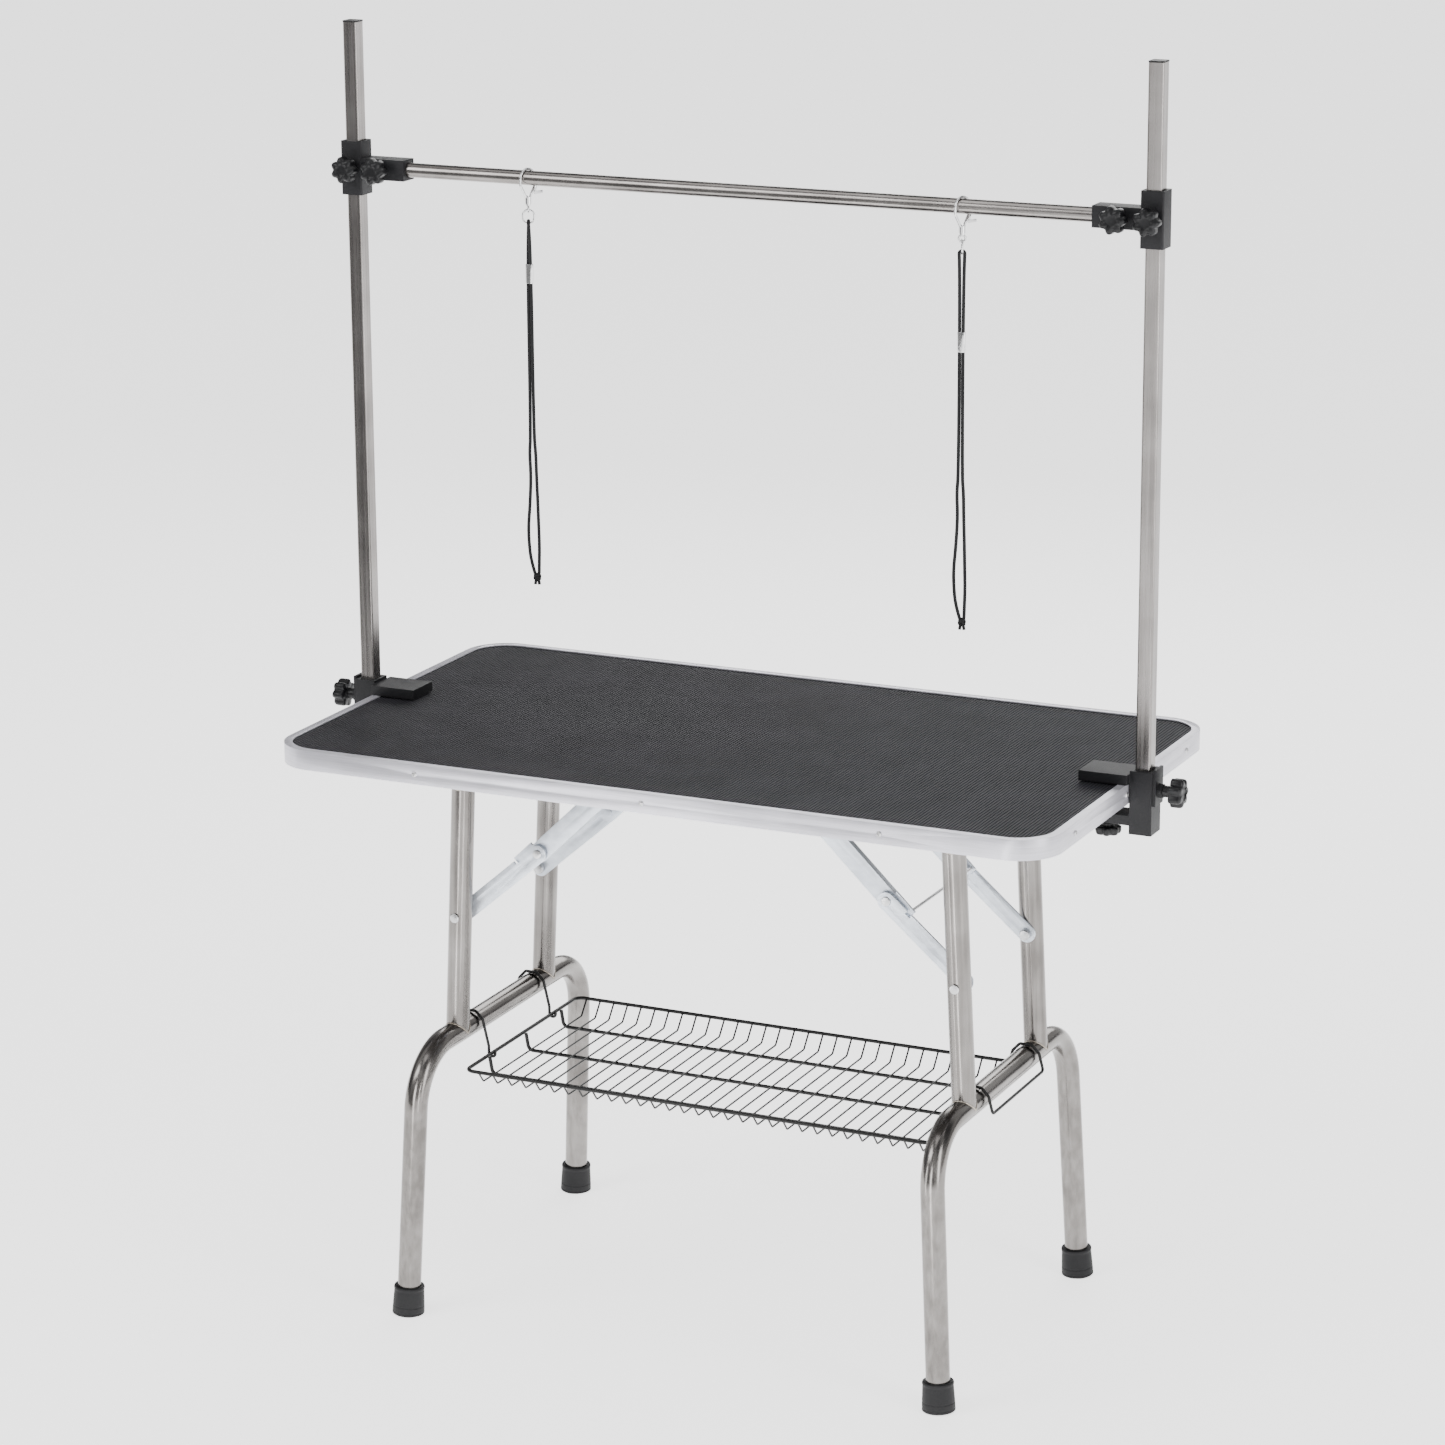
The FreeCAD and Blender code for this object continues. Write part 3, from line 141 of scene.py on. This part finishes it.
def finish(name, dark, light, metal, rough, grain, stretch=(1, 1, 1), bump=0.05):
    """A finish whose colour, gloss and surface vary with a fine grain fixed to the piece."""
    made = bpy.data.materials.new(name)
    made.use_nodes = True
    nodes, links = made.node_tree.nodes, made.node_tree.links
    skin = nodes["Principled BSDF"]
    skin.inputs["Metallic"].default_value = metal
    skin.inputs["Specular IOR Level"].default_value = SHINE
    where = nodes.new("ShaderNodeTexCoord")
    scaled = nodes.new("ShaderNodeMapping")
    scaled.inputs["Scale"].default_value = stretch
    speck = nodes.new("ShaderNodeTexNoise")
    speck.inputs["Scale"].default_value = grain
    speck.inputs["Detail"].default_value = 6
    cloud = nodes.new("ShaderNodeTexNoise")
    cloud.inputs["Scale"].default_value = CLOUD_GRAIN
    cloud.inputs["Detail"].default_value = 3
    both = nodes.new("ShaderNodeMath")
    both.operation = "ADD"
    halved = nodes.new("ShaderNodeMath")
    halved.operation = "MULTIPLY"
    halved.inputs[1].default_value = 0.5
    tone = nodes.new("ShaderNodeValToRGB")
    tone.color_ramp.elements[0].position = 0.35
    tone.color_ramp.elements[0].color = (*dark, 1)
    tone.color_ramp.elements[1].position = 0.65
    tone.color_ramp.elements[1].color = (*light, 1)
    gloss = nodes.new("ShaderNodeMapRange")
    gloss.inputs["To Min"].default_value = rough[0]
    gloss.inputs["To Max"].default_value = rough[1]
    relief = nodes.new("ShaderNodeBump")
    relief.inputs["Strength"].default_value = bump
    relief.inputs["Distance"].default_value = RELIEF_DEEP
    links.new(where.outputs["Object"], scaled.inputs["Vector"])
    links.new(scaled.outputs["Vector"], speck.inputs["Vector"])
    links.new(where.outputs["Object"], cloud.inputs["Vector"])
    links.new(speck.outputs["Fac"], both.inputs[0])
    links.new(cloud.outputs["Fac"], both.inputs[1])
    links.new(both.outputs[0], halved.inputs[0])
    links.new(halved.outputs[0], tone.inputs["Fac"])
    links.new(tone.outputs["Color"], skin.inputs["Base Color"])
    links.new(speck.outputs["Fac"], gloss.inputs["Value"])
    links.new(gloss.outputs["Result"], skin.inputs["Roughness"])
    links.new(speck.outputs["Fac"], relief.inputs["Height"])
    links.new(relief.outputs["Normal"], skin.inputs["Normal"])
    return made


def piece(name, mesh, made_of, slot, body, *stands_for):
    """Puts a mesh or curve in the scene as a named piece that rides on a body."""
    thing = bpy.data.objects.new(name, mesh)
    bpy.context.scene.collection.objects.link(thing)
    mesh.materials.append(made_of)
    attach(thing, body)
    if stands_for:
        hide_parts(*stands_for)
    return thing


PLAIT_LEAN = 42
PLAIT_GRAIN = 190


def braided(name):
    """Black nylon braid: two sets of fine diagonal plaits over a soft sheen."""
    made = finish(name, (0.004, 0.004, 0.005), (0.010, 0.010, 0.011), 0, (0.6, 0.8), 900, bump=0.2)
    nodes, links = made.node_tree.nodes, made.node_tree.links
    where = nodes.new("ShaderNodeTexCoord")
    plaits = []
    for lean in (-PLAIT_LEAN, PLAIT_LEAN):
        tilted = nodes.new("ShaderNodeMapping")
        tilted.inputs["Rotation"].default_value = (0, math.radians(lean), 0)
        wave = nodes.new("ShaderNodeTexWave")
        wave.inputs["Scale"].default_value = PLAIT_GRAIN
        links.new(where.outputs["Object"], tilted.inputs["Vector"])
        links.new(tilted.outputs["Vector"], wave.inputs["Vector"])
        plaits.append(wave)
    woven = nodes.new("ShaderNodeMath")
    woven.operation = "MULTIPLY"
    links.new(plaits[0].outputs["Fac"], woven.inputs[0])
    links.new(plaits[1].outputs["Fac"], woven.inputs[1])
    relief = next(node for node in nodes if node.type == "BUMP")
    relief.inputs["Strength"].default_value = 0.3
    links.new(woven.outputs[0], relief.inputs["Height"])
    nodes["Principled BSDF"].inputs["Sheen Weight"].default_value = 0.05
    return made


def round_line(name, radius, around):
    """A curve that is drawn as a round strand; around sets how smooth its section is."""
    line = bpy.data.curves.new(name, "CURVE")
    line.dimensions = "3D"
    line.bevel_depth = radius
    line.bevel_resolution = around
    return line


def lay(line, places, order=0):
    """Adds one run through the places, straight between them or, given an order, smoothly bent."""
    run = line.splines.new("NURBS" if order else "POLY")
    run.points.add(len(places) - 1)
    for point, place in zip(run.points, places):
        point.co = (*place, 1)
    if order:
        run.order_u = order
        run.use_endpoint_u = True
    return run


SIDES = (("left", -1), ("right", 1))
NOOSE_X = 0.300
CORD_THICK = 0.0044
RING_LOW = 1.4231
RING_DROP = 0.024
BIGHT_RADIUS = 0.0035
BIGHT_STEPS = 16
STRAND_OFF = 0.0024
RING_YAW = {"left": math.radians(-65), "right": math.radians(25)}
nylon = braided("black_nylon_braid")
left_hand_route = [(-0.0024, 1.144), (-0.0046, 1.123), (-0.0030, 1.092), (-0.0053, 1.052),
                   (-0.0081, 1.025), (-0.0076, 1.001), (-0.0050, 0.978), (0.0005, 0.9615)]
right_hand_route = [(0.0024, 1.144), (0.0046, 1.123), (0.0051, 1.092), (0.0064, 1.052),
                    (0.0070, 1.025), (0.0076, 1.001), (0.0070, 0.978), (0.0065, 0.9623)]
for side, sign in SIDES:
    middle = sign * NOOSE_X
    spread = Vector((math.cos(RING_YAW[side]), math.sin(RING_YAW[side]), 0)) * BIGHT_RADIUS
    for hand, way_out, route in (("a", -1, left_hand_route), ("b", 1, right_hand_route)):
        start = Vector((middle, 0, RING_LOW)) + spread * way_out
        points = [start, Vector((middle + way_out * STRAND_OFF, 0, RING_LOW - RING_DROP))]
        points += [Vector((middle + x, 0, z)) for x, z in route]
        line = round_line(f"{side}_cord_{hand}", CORD_THICK / 2, 5)
        line.use_fill_caps = True
        lay(line, points, 3).resolution_u = 16
        stands_for = [f"{side}_cord"] if hand == "a" else []
        strand = piece(f"{side}_cord_{hand}", line, nylon, "cord_nylon", f"{side}_loop", *stands_for)
    bight = round_line(f"{side}_cord_bight", CORD_THICK / 2, 5)
    swings = [math.pi * step / BIGHT_STEPS for step in range(BIGHT_STEPS + 1)]
    lay(bight, [Vector((middle, 0, RING_LOW + BIGHT_RADIUS * math.sin(swing))) + spread * math.cos(swing)
                for swing in swings])
    piece(f"{side}_cord_bight", bight, nylon, "cord_nylon", f"{side}_loop")


# Knot: the two cord ends are tied together in a tight overhand knot and trimmed to short tails,
# whose cut ends are melted so that they don't fray.
WRAP_RADIUS = 0.0021
WRAP_WIDE = 0.0034
WRAP_RISE = 0.0032
WRAP_ROUND = 0.0052
WRAP_STEPS = 34
STEPS_A_TURN = 13
STEPS_A_RISE = 21
TAIL_RADIUS = 0.0020
tail_route = ((0.0012, -0.002), (0.0024, -0.005), (0.0030, -0.0098))
for side, sign in SIDES:
    low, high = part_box(f"{side}_knot")
    core = Vector(((low.x + high.x) / 2 - 0.0005, 0, high.z - WRAP_ROUND))
    wrap_places = []
    for step in range(WRAP_STEPS + 1):
        swing = 2 * math.pi * step / STEPS_A_TURN
        rise = WRAP_RISE * math.sin(2 * math.pi * step / STEPS_A_RISE)
        wide = WRAP_WIDE * math.cos(rise / WRAP_ROUND)
        wrap_places.append((core.x + wide * math.cos(swing), core.y + wide * math.sin(swing), core.z + rise))
    wraps = round_line(f"{side}_knot_wraps", WRAP_RADIUS, 4)
    lay(wraps, wrap_places, 4)
    piece(f"{side}_knot_wraps", wraps, nylon, "cord_nylon", f"{side}_loop", f"{side}_knot")
    for hand, way_out in (("a", -1), ("b", 1)):
        tail = round_line(f"{side}_knot_tail_{hand}", TAIL_RADIUS, 4)
        tail.use_fill_caps = True
        lay(tail, [(core.x + way_out * x, core.y, core.z + z) for x, z in tail_route], 3)
        piece(f"{side}_knot_tail_{hand}", tail, nylon, "cord_nylon", f"{side}_loop")


# Board: the stiff panel inside the top, cut from laminated particle board. Only its underside
# can be seen; the screws and the brackets' plates bite into it.
def dress(made_of, *names):
    """Gives carried-over nodes their real finish."""
    for name in names:
        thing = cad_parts[name]
        thing.data.materials.clear()
        thing.data.materials.append(made_of)


particle_board = finish("dark_laminate_board", (0.030, 0.028, 0.027), (0.075, 0.070, 0.066), 0,
                        (0.5, 0.75), 320, bump=0.15)
dress(particle_board, "tabletop_board")


# Rubber mat: a black non-slip sheet glued on the board, moulded with fine straight ribs that run
# across the table, so the animal's feet grip. It is trimmed to the board's rounded outline.
RIB_PITCH = 0.0045
RIB_TALL = 0.0009
RIB_WIDE = 0.0022
RIB_SHOULDER = 0.0005
MAT_CORNER = 0.0558
END_EASE = 0.0005
mat_low, mat_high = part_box("rubber_mat")
rib_foot = mat_high.z - RIB_TALL


def mat_reach(x):
    """Half the mat's width at x, shorter where its corners are rounded."""
    past = abs(x) - (mat_high.x - MAT_CORNER)
    if past <= 0:
        return mat_high.y
    return mat_high.y - MAT_CORNER + math.sqrt(max(MAT_CORNER ** 2 - past ** 2, 0))


profile = [(mat_low.x, rib_foot)]
rib_x = mat_low.x + RIB_PITCH / 2
while rib_x + RIB_WIDE + RIB_SHOULDER < mat_high.x:
    profile += [(rib_x - RIB_SHOULDER, rib_foot), (rib_x, mat_high.z), (rib_x + RIB_WIDE, mat_high.z),
                (rib_x + RIB_WIDE + RIB_SHOULDER, rib_foot)]
    rib_x += RIB_PITCH
profile.append((mat_high.x, rib_foot))
mat_form = bmesh.new()
rows = []
for x, z in profile:
    half = max(mat_reach(x), END_EASE + mat_high.y - MAT_CORNER)
    around = ((x, -half, z), (x, half, z), (x, half, mat_low.z), (x, -half, mat_low.z))
    rows.append([mat_form.verts.new(place) for place in around])
for near, far in zip(rows, rows[1:]):
    for edge in range(4):
        mat_form.faces.new((near[edge], near[(edge + 1) % 4], far[(edge + 1) % 4], far[edge]))
mat_form.faces.new(rows[0])
mat_form.faces.new(rows[-1][::-1])
bmesh.ops.recalc_face_normals(mat_form, faces=mat_form.faces)
mat_mesh = bpy.data.meshes.new("ribbed_mat")
mat_form.to_mesh(mat_mesh)
mat_form.free()
mat_rubber = finish("black_ribbed_rubber", (0.013, 0.013, 0.016), (0.030, 0.029, 0.035), 0, (0.55, 0.75),
                    700, bump=0.12)
piece("ribbed_mat", mat_mesh, mat_rubber, "mat_rubber", "table", "rubber_mat")


# Edge trim: a channel of anodised aluminium bent round the top in one length, with fine draw
# lines along it. Its lips grip the board below and the mat above.
trim_metal = finish("satin_anodised_aluminium", (0.52, 0.515, 0.56), (0.70, 0.69, 0.75), 0.6, (0.30, 0.42),
                    240, stretch=(0.08, 0.08, 4), bump=0.04)


def eased(name, node, edge, made_of, slot, body, steps=3):
    """The node's own form with its sharp edges broken, as pressing, casting or moulding leaves them."""
    form = bmesh.new()
    form.from_mesh(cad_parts[node].data)
    bmesh.ops.remove_doubles(form, verts=form.verts, dist=0.00002)
    bmesh.ops.dissolve_limit(form, angle_limit=math.radians(0.6), verts=form.verts, edges=form.edges)
    mesh = bpy.data.meshes.new(name)
    form.to_mesh(mesh)
    form.free()
    for face in mesh.polygons:
        face.use_smooth = True
    thing = piece(name, mesh, made_of, slot, body, node)
    round_off = thing.modifiers.new("broken_edges", "BEVEL")
    round_off.width = edge
    round_off.segments = steps
    round_off.limit_method = "ANGLE"
    round_off.angle_limit = math.radians(42)
    round_off.harden_normals = True


eased("edge_channel", "edge_trim", 0.0006, trim_metal, "trim_aluminium", "table")


# Table screws: plated pan-head screws with a cross recess. They pin the trim to the board all
# round, and hold the leg saddles and brace tabs up against the board's underside.
screw_plate = finish("bright_zinc_screw", (0.45, 0.45, 0.46), (0.72, 0.72, 0.72), 1.0, (0.22, 0.38), 900)
HEAD_RADIUS = 0.0036
HEAD_TALL = 0.0018
RECESS_HALF = 0.00055
RECESS_LONG = 0.0021
RECESS_DEEP = 0.0009


def screw_head(form, base, outward):
    """A domed head standing on base, its cross recess sunk into the crown."""
    facing = outward.to_track_quat("Z", "Y").to_matrix()
    rings, spokes = 12, 32
    grid = []
    for ring in range(rings + 1):
        radius = HEAD_RADIUS * ring / rings
        row = []
        for spoke in range(spokes):
            swing = 2 * math.pi * spoke / spokes
            x, y = radius * math.cos(swing), radius * math.sin(swing)
            z = HEAD_TALL * math.sqrt(max(1 - (radius / HEAD_RADIUS) ** 4, 0))
            if min(abs(x), abs(y)) < RECESS_HALF and max(abs(x), abs(y)) < RECESS_LONG:
                z -= RECESS_DEEP
            row.append(form.verts.new(base + facing @ Vector((x, y, z))))
        grid.append(row)
    for inner, outer in zip(grid[1:], grid[2:]):
        for spoke in range(spokes):
            after = (spoke + 1) % spokes
            form.faces.new((inner[spoke], outer[spoke], outer[after], inner[after]))
    form.faces.new(grid[1])
    form.faces.new(grid[-1][::-1])
    for spare in grid[0]:
        form.verts.remove(spare)


TRIM_SCREW_DROP = 0.013
PLATE_FACE_Z = 0.7498
long_side_screws = (-0.320, 0.0, 0.320)
short_side_screws = (-0.200, -0.022, 0.200)
plate_screws = ((0.3553, 0.060), (0.3733, 0.060), (0.1116, 0.0799), (0.1316, 0.0799))
trim_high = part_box("edge_trim")[1]
screw_z = trim_high.z - TRIM_SCREW_DROP
heads = bmesh.new()
for facing in (-1, 1):
    for along in long_side_screws:
        screw_head(heads, Vector((along, facing * trim_high.y, screw_z)), Vector((0, facing, 0)))
    for along in short_side_screws:
        screw_head(heads, Vector((facing * trim_high.x, along, screw_z)), Vector((facing, 0, 0)))
    for front in (-1, 1):
        for reach_x, reach_y in plate_screws:
            screw_head(heads, Vector((facing * reach_x, front * reach_y, PLATE_FACE_Z)), Vector((0, 0, -1)))
heads_mesh = bpy.data.meshes.new("cross_head_screws")
bmesh.ops.recalc_face_normals(heads, faces=heads.faces)
heads.to_mesh(heads_mesh)
heads.free()
piece("cross_head_screws", heads_mesh, screw_plate, "screw_steel", "table", "table_screws")


# Brackets under the board: pressed steel, zinc plated to a blue-white. The saddles' ears hold the
# leg pivots, and the tabs carry the riveted upper ends of the braces.
zinc = finish("blue_white_zinc", (0.56, 0.60, 0.66), (0.80, 0.85, 0.92), 0.6, (0.24, 0.46), 60,
              stretch=(1, 1, 1.6), bump=0.05)
eased("leg_saddles", "hinge_brackets", 0.0005, zinc, "zinc_steel", "table")
eased("brace_tabs", "brace_brackets", 0.0005, zinc, "zinc_steel", "table")


# Leg frames: 31 mm stainless tube, polished along its length. Each has two upper tubes welded to
# a pivot tube and coped onto the bent lower bow, with a narrow weld bead round every joint.
STAINLESS = ((0.15, 0.140, 0.132), (0.27, 0.256, 0.245), 1.0, (0.16, 0.30), 150)
tube_steel = finish("polished_stainless_tube", *STAINLESS, stretch=(1, 1, 0.04), bump=0.03)
cross_steel = finish("polished_stainless_bend", *STAINLESS, stretch=(1, 0.05, 0.3), bump=0.03)
weld_steel = finish("heat_tinted_weld", (0.24, 0.20, 0.16), (0.60, 0.56, 0.50), 1.0, (0.3, 0.5), 700,
                    bump=0.3)
TUBE_RADIUS = 0.0155
PIVOT_RADIUS = 0.0125
SPLAY = math.radians(2.84)
PIVOT_X = 0.3453
PIVOT_Z = 0.710
BOW_DROP = 0.3524
TUBE_Y = 0.124
BEAD_RADIUS = 0.0012
BEAD_STEPS = 72
RIPPLE_DEEP = 0.00025
RIPPLES = 24
for side, sign in SIDES:
    dress(tube_steel, f"{side}_upper_tubes")
    dress(cross_steel, f"{side}_lower_bow", f"{side}_pivot_tube")
    lean = Matrix.Rotation(-sign * SPLAY, 4, "Y")
    hang = Matrix.Translation((sign * PIVOT_X, 0, PIVOT_Z)) @ lean
    beads = round_line(f"{side}_weld_beads", BEAD_RADIUS, 3)
    for front in (-1, 1):
        for drop, radius in ((BOW_DROP, TUBE_RADIUS), (0, PIVOT_RADIUS)):
            bead = []
            for step in range(BEAD_STEPS):
                swing = 2 * math.pi * step / BEAD_STEPS
                x = min(TUBE_RADIUS, radius) * math.sin(swing)
                y = TUBE_RADIUS * math.cos(swing)
                lift = math.sqrt(max(radius ** 2 - x ** 2, 0)) * (1 if drop else -1)
                ripple = RIPPLE_DEEP * math.sin(swing * RIPPLES)
                bead.append(hang @ Vector((x, front * TUBE_Y + y + ripple, lift - drop)))
            lay(beads, bead).use_cyclic_u = True
    piece(f"{side}_weld_beads", beads, weld_steel, "leg_steel", f"{side}_leg")


# Foot caps: black rubber ferrules pushed over the tube ends. They flare towards the floor, with a
# rolled lip at the top and shallow grip rings, and stand flat.
foot_rubber = finish("black_foot_rubber", (0.004, 0.004, 0.005), (0.012, 0.012, 0.013), 0,
                     (0.50, 0.70), 500, bump=0.15)


def turned(form, outline, base, axis, spokes=64, lobes=0, lobe_deep=0.0, lobe_from=1.0):
    """Turns an outline of (height, radius) about an axis; beyond lobe_from the rim has lobes."""
    facing = axis.to_track_quat("Z", "Y").to_matrix()
    rows = []
    for height, radius in outline:
        row = []
        for spoke in range(spokes):
            swing = 2 * math.pi * spoke / spokes
            reach = radius
            if lobes and radius > lobe_from:
                reach -= lobe_deep * (0.5 - 0.5 * math.cos(lobes * swing)) ** 1.3
            row.append(form.verts.new(base + facing @ Vector((reach * math.cos(swing),
                                                              reach * math.sin(swing), height))))
        rows.append(row)
    for lower, upper in zip(rows, rows[1:]):
        for spoke in range(spokes):
            after = (spoke + 1) % spokes
            form.faces.new((lower[spoke], lower[after], upper[after], upper[spoke]))
    form.faces.new(rows[0][::-1])
    form.faces.new(rows[-1])


def smooth_mesh(name, form):
    """Closes a form into a mesh with smooth faces."""
    bmesh.ops.recalc_face_normals(form, faces=form.faces)
    mesh = bpy.data.meshes.new(name)
    form.to_mesh(mesh)
    form.free()
    for face in mesh.polygons:
        face.use_smooth = True
    mesh.set_sharp_from_angle(angle=math.radians(35))
    return mesh


FOOT_X = PIVOT_X + PIVOT_Z * math.tan(SPLAY)
FOOT_Y = 0.245
BOW_LEAN = math.radians(1.9)
foot_outline = [(0.0, 0.0205), (0.0008, 0.0214), (0.0030, 0.0214), (0.0034, 0.0210), (0.0052, 0.0210),
                (0.0056, 0.0213), (0.0110, 0.0211), (0.0114, 0.0207), (0.0132, 0.0206), (0.0136, 0.0210),
                (0.0330, 0.0199), (0.0342, 0.0198), (0.0352, 0.0203), (0.0372, 0.0204), (0.0386, 0.0198),
                (0.0392, 0.0186), (0.0390, 0.0158)]
for side, sign in SIDES:
    ferrules = bmesh.new()
    for front in (-1, 1):
        axis = Vector((-sign * math.sin(SPLAY), -front * math.tan(BOW_LEAN), math.cos(SPLAY))).normalized()
        turned(ferrules, foot_outline, Vector((sign * FOOT_X, front * FOOT_Y, 0)), axis)
    for vert in ferrules.verts:
        vert.co.z = max(vert.co.z, 0)
    piece(f"{side}_ferrules", smooth_mesh(f"{side}_ferrules", ferrules), foot_rubber, "foot_rubber",
          f"{side}_leg", f"{side}_foot_caps")


# Folding braces: flat zinc-plated steel links, riveted together and bolted to the legs. The upper
# link has a rolled stiffening flange, and its tail carries the thin tie rod from front to back.
for side, sign in SIDES:
    eased(f"{side}_lower_brace_links", f"{side}_lower_links", 0.0005, zinc, "zinc_steel",
          f"{side}_lower_brace")
    eased(f"{side}_upper_brace_links", f"{side}_upper_links", 0.0005, zinc, "zinc_steel",
          f"{side}_upper_brace")
    eased(f"{side}_brace_rivets", f"{side}_joint_rivets", 0.0007, screw_plate, "zinc_steel",
          f"{side}_lower_brace")
    eased(f"{side}_leg_bolts", f"{side}_brace_bolts", 0.0012, screw_plate, "screw_steel", f"{side}_leg", 4)
    dress(screw_plate, f"{side}_tie_rod")


# Wire tray: a rim, three thick runners and many thin cross wires, spot welded and dipped in a
# glossy black coating, hung from the leg bows on two bent wire hangers.
coated_wire = finish("black_coated_wire", (0.004, 0.004, 0.004), (0.010, 0.010, 0.010), 0,
                     (0.30, 0.45), 400, bump=0.08)
dress(coated_wire, "basket_rim", "basket_long_wires", "basket_cross_wires", "basket_hangers")


# End clamps: black powder-coated castings. The jaw lies on the top, the lower arm holds the
# tightening screw, and the outer block is the square socket that the post stands in.
powder = finish("black_powder_coat", (0.004, 0.004, 0.005), (0.012, 0.012, 0.014), 0, (0.45, 0.62), 900,
                bump=0.25)
for side, sign in SIDES:
    eased(f"{side}_clamp_casting", f"{side}_clamp", 0.0014, powder, "black_metal", "table", 4)
    dress(foot_rubber, f"{side}_clamp_pad")


# Posts: 20 mm square stainless tube with rounded corners, ground along its length. A thin black
# moulded cap closes each top.
post_steel = finish("ground_square_tube", (0.20, 0.187, 0.18), (0.34, 0.322, 0.312), 1.0, (0.20, 0.34), 260,
                    stretch=(1, 1, 0.02), bump=0.05)
moulded = finish("black_moulding", (0.004, 0.004, 0.004), (0.012, 0.012, 0.012), 0, (0.42, 0.58), 600,
                 bump=0.1)
dress(post_steel, "left_post", "right_post")
eased("post_end_caps", "post_caps", 0.0006, moulded, "black_plastic", "table")


# Overhead bar: round stainless tube, polished along its length, pushed into a bracket at each
# end. Each bracket is a black casting with a sleeve that slides on the post.
bar_steel = finish("polished_round_bar", (0.18, 0.168, 0.16), (0.32, 0.302, 0.29), 1.0, (0.18, 0.32), 260,
                   stretch=(0.03, 1, 1), bump=0.04)
dress(bar_steel, "crossbar")
for side, sign in SIDES:
    eased(f"{side}_bar_casting", f"{side}_bar_bracket", 0.0014, powder, "black_metal", "bar", 4)


# Star knobs: seven-lobed grips moulded in black plastic over a steel stud, with a domed crown and
# a shallow dish in its middle. They lock the posts, the sleeves and the bar.
knob_plastic = finish("black_knob_plastic", (0.003, 0.003, 0.004), (0.009, 0.009, 0.010), 0, (0.32, 0.46),
                      800, bump=0.06)
LOBES = 7
HUB_RADIUS = 0.0075
LIP = 0.001


def star_knob(name, node, spot, outward, radius, thick, hub, stud_radius, stud_long):
    """A knob that turns on its own body. Its hub starts at spot, with the lobed head outward of it."""
    top = hub + thick
    outline = [(-stud_long, stud_radius * 0.85), (0.0008 - stud_long, stud_radius), (0, stud_radius),
               (0, HUB_RADIUS), (hub - LIP, HUB_RADIUS), (hub, HUB_RADIUS + LIP), (hub, radius * 0.88),
               (hub + 0.0008, radius * 0.97), (hub + 0.002, radius), (top - 0.0055, radius),
               (top - 0.0030, radius * 0.975), (top - 0.0012, radius * 0.90), (top - 0.0002, radius * 0.74),
               (top, radius * 0.58), (top - 0.0004, radius * 0.50), (top - 0.0014, radius * 0.44),
               (top - 0.0018, radius * 0.30), (top - 0.0018, radius * 0.05)]
    form = bmesh.new()
    turned(form, outline, Vector(spot), Vector(outward), 140, LOBES, radius * 0.20, HUB_RADIUS + 2 * LIP)
    piece(name, smooth_mesh(name, form), knob_plastic, "knob_plastic", node, node)


POST_X = 0.551
BAR_Z = 1.482
SOCKET_Z = 0.768
SCREW_X = 0.503
SLEEVE_FACE_Y = -0.0153
POST_HEAD_LONG = 0.027
SCREW_HEAD_LONG = 0.015
for side, sign in SIDES:
    for kind, knob_x, stud_long in (("collar", POST_X, 0.0050), ("bar", POST_X - 0.043, 0.0055)):
        star_knob(f"{side}_{kind}_star", f"{side}_{kind}_knob", (sign * knob_x, SLEEVE_FACE_Y, BAR_Z),
                  (0, -1, 0), radius=0.0175, thick=0.016, hub=0.010, stud_radius=0.004, stud_long=stud_long)
    low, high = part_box(f"{side}_post_knob")
    outer = high.x if sign > 0 else -low.x
    star_knob(f"{side}_post_star", f"{side}_post_knob", (sign * (outer - POST_HEAD_LONG), 0, SOCKET_Z),
              (sign, 0, 0), radius=0.019, thick=0.017, hub=0.010, stud_radius=0.004, stud_long=0.015)
    low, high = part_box(f"{side}_clamp_screw")
    star_knob(f"{side}_clamp_star", f"{side}_clamp_screw", (sign * SCREW_X, 0, low.z + SCREW_HEAD_LONG),
              (0, 0, -1), radius=0.017, thick=0.011, hub=0.004, stud_radius=0.005,
              stud_long=high.z - low.z - SCREW_HEAD_LONG)


# Snap hooks: bright plated die castings. The hook hangs round the bar, a sprung trigger closes
# it, and a swivel at its foot carries the oval wire ring of the noose.
bright_plate = finish("bright_nickel_plate", (0.55, 0.55, 0.56), (0.85, 0.85, 0.85), 1.0, (0.10, 0.22), 500,
                      bump=0.05)
for side, sign in SIDES:
    dress(bright_plate, f"{side}_snap_hook", f"{side}_swivel", f"{side}_ring")
    eased(f"{side}_thumb_trigger", f"{side}_snap_trigger", 0.0003, bright_plate, "hook_chrome",
          f"{side}_trigger")
    eased(f"{side}_cord_slider", f"{side}_slider", 0.0005, bright_plate, "hook_chrome", f"{side}_slider")
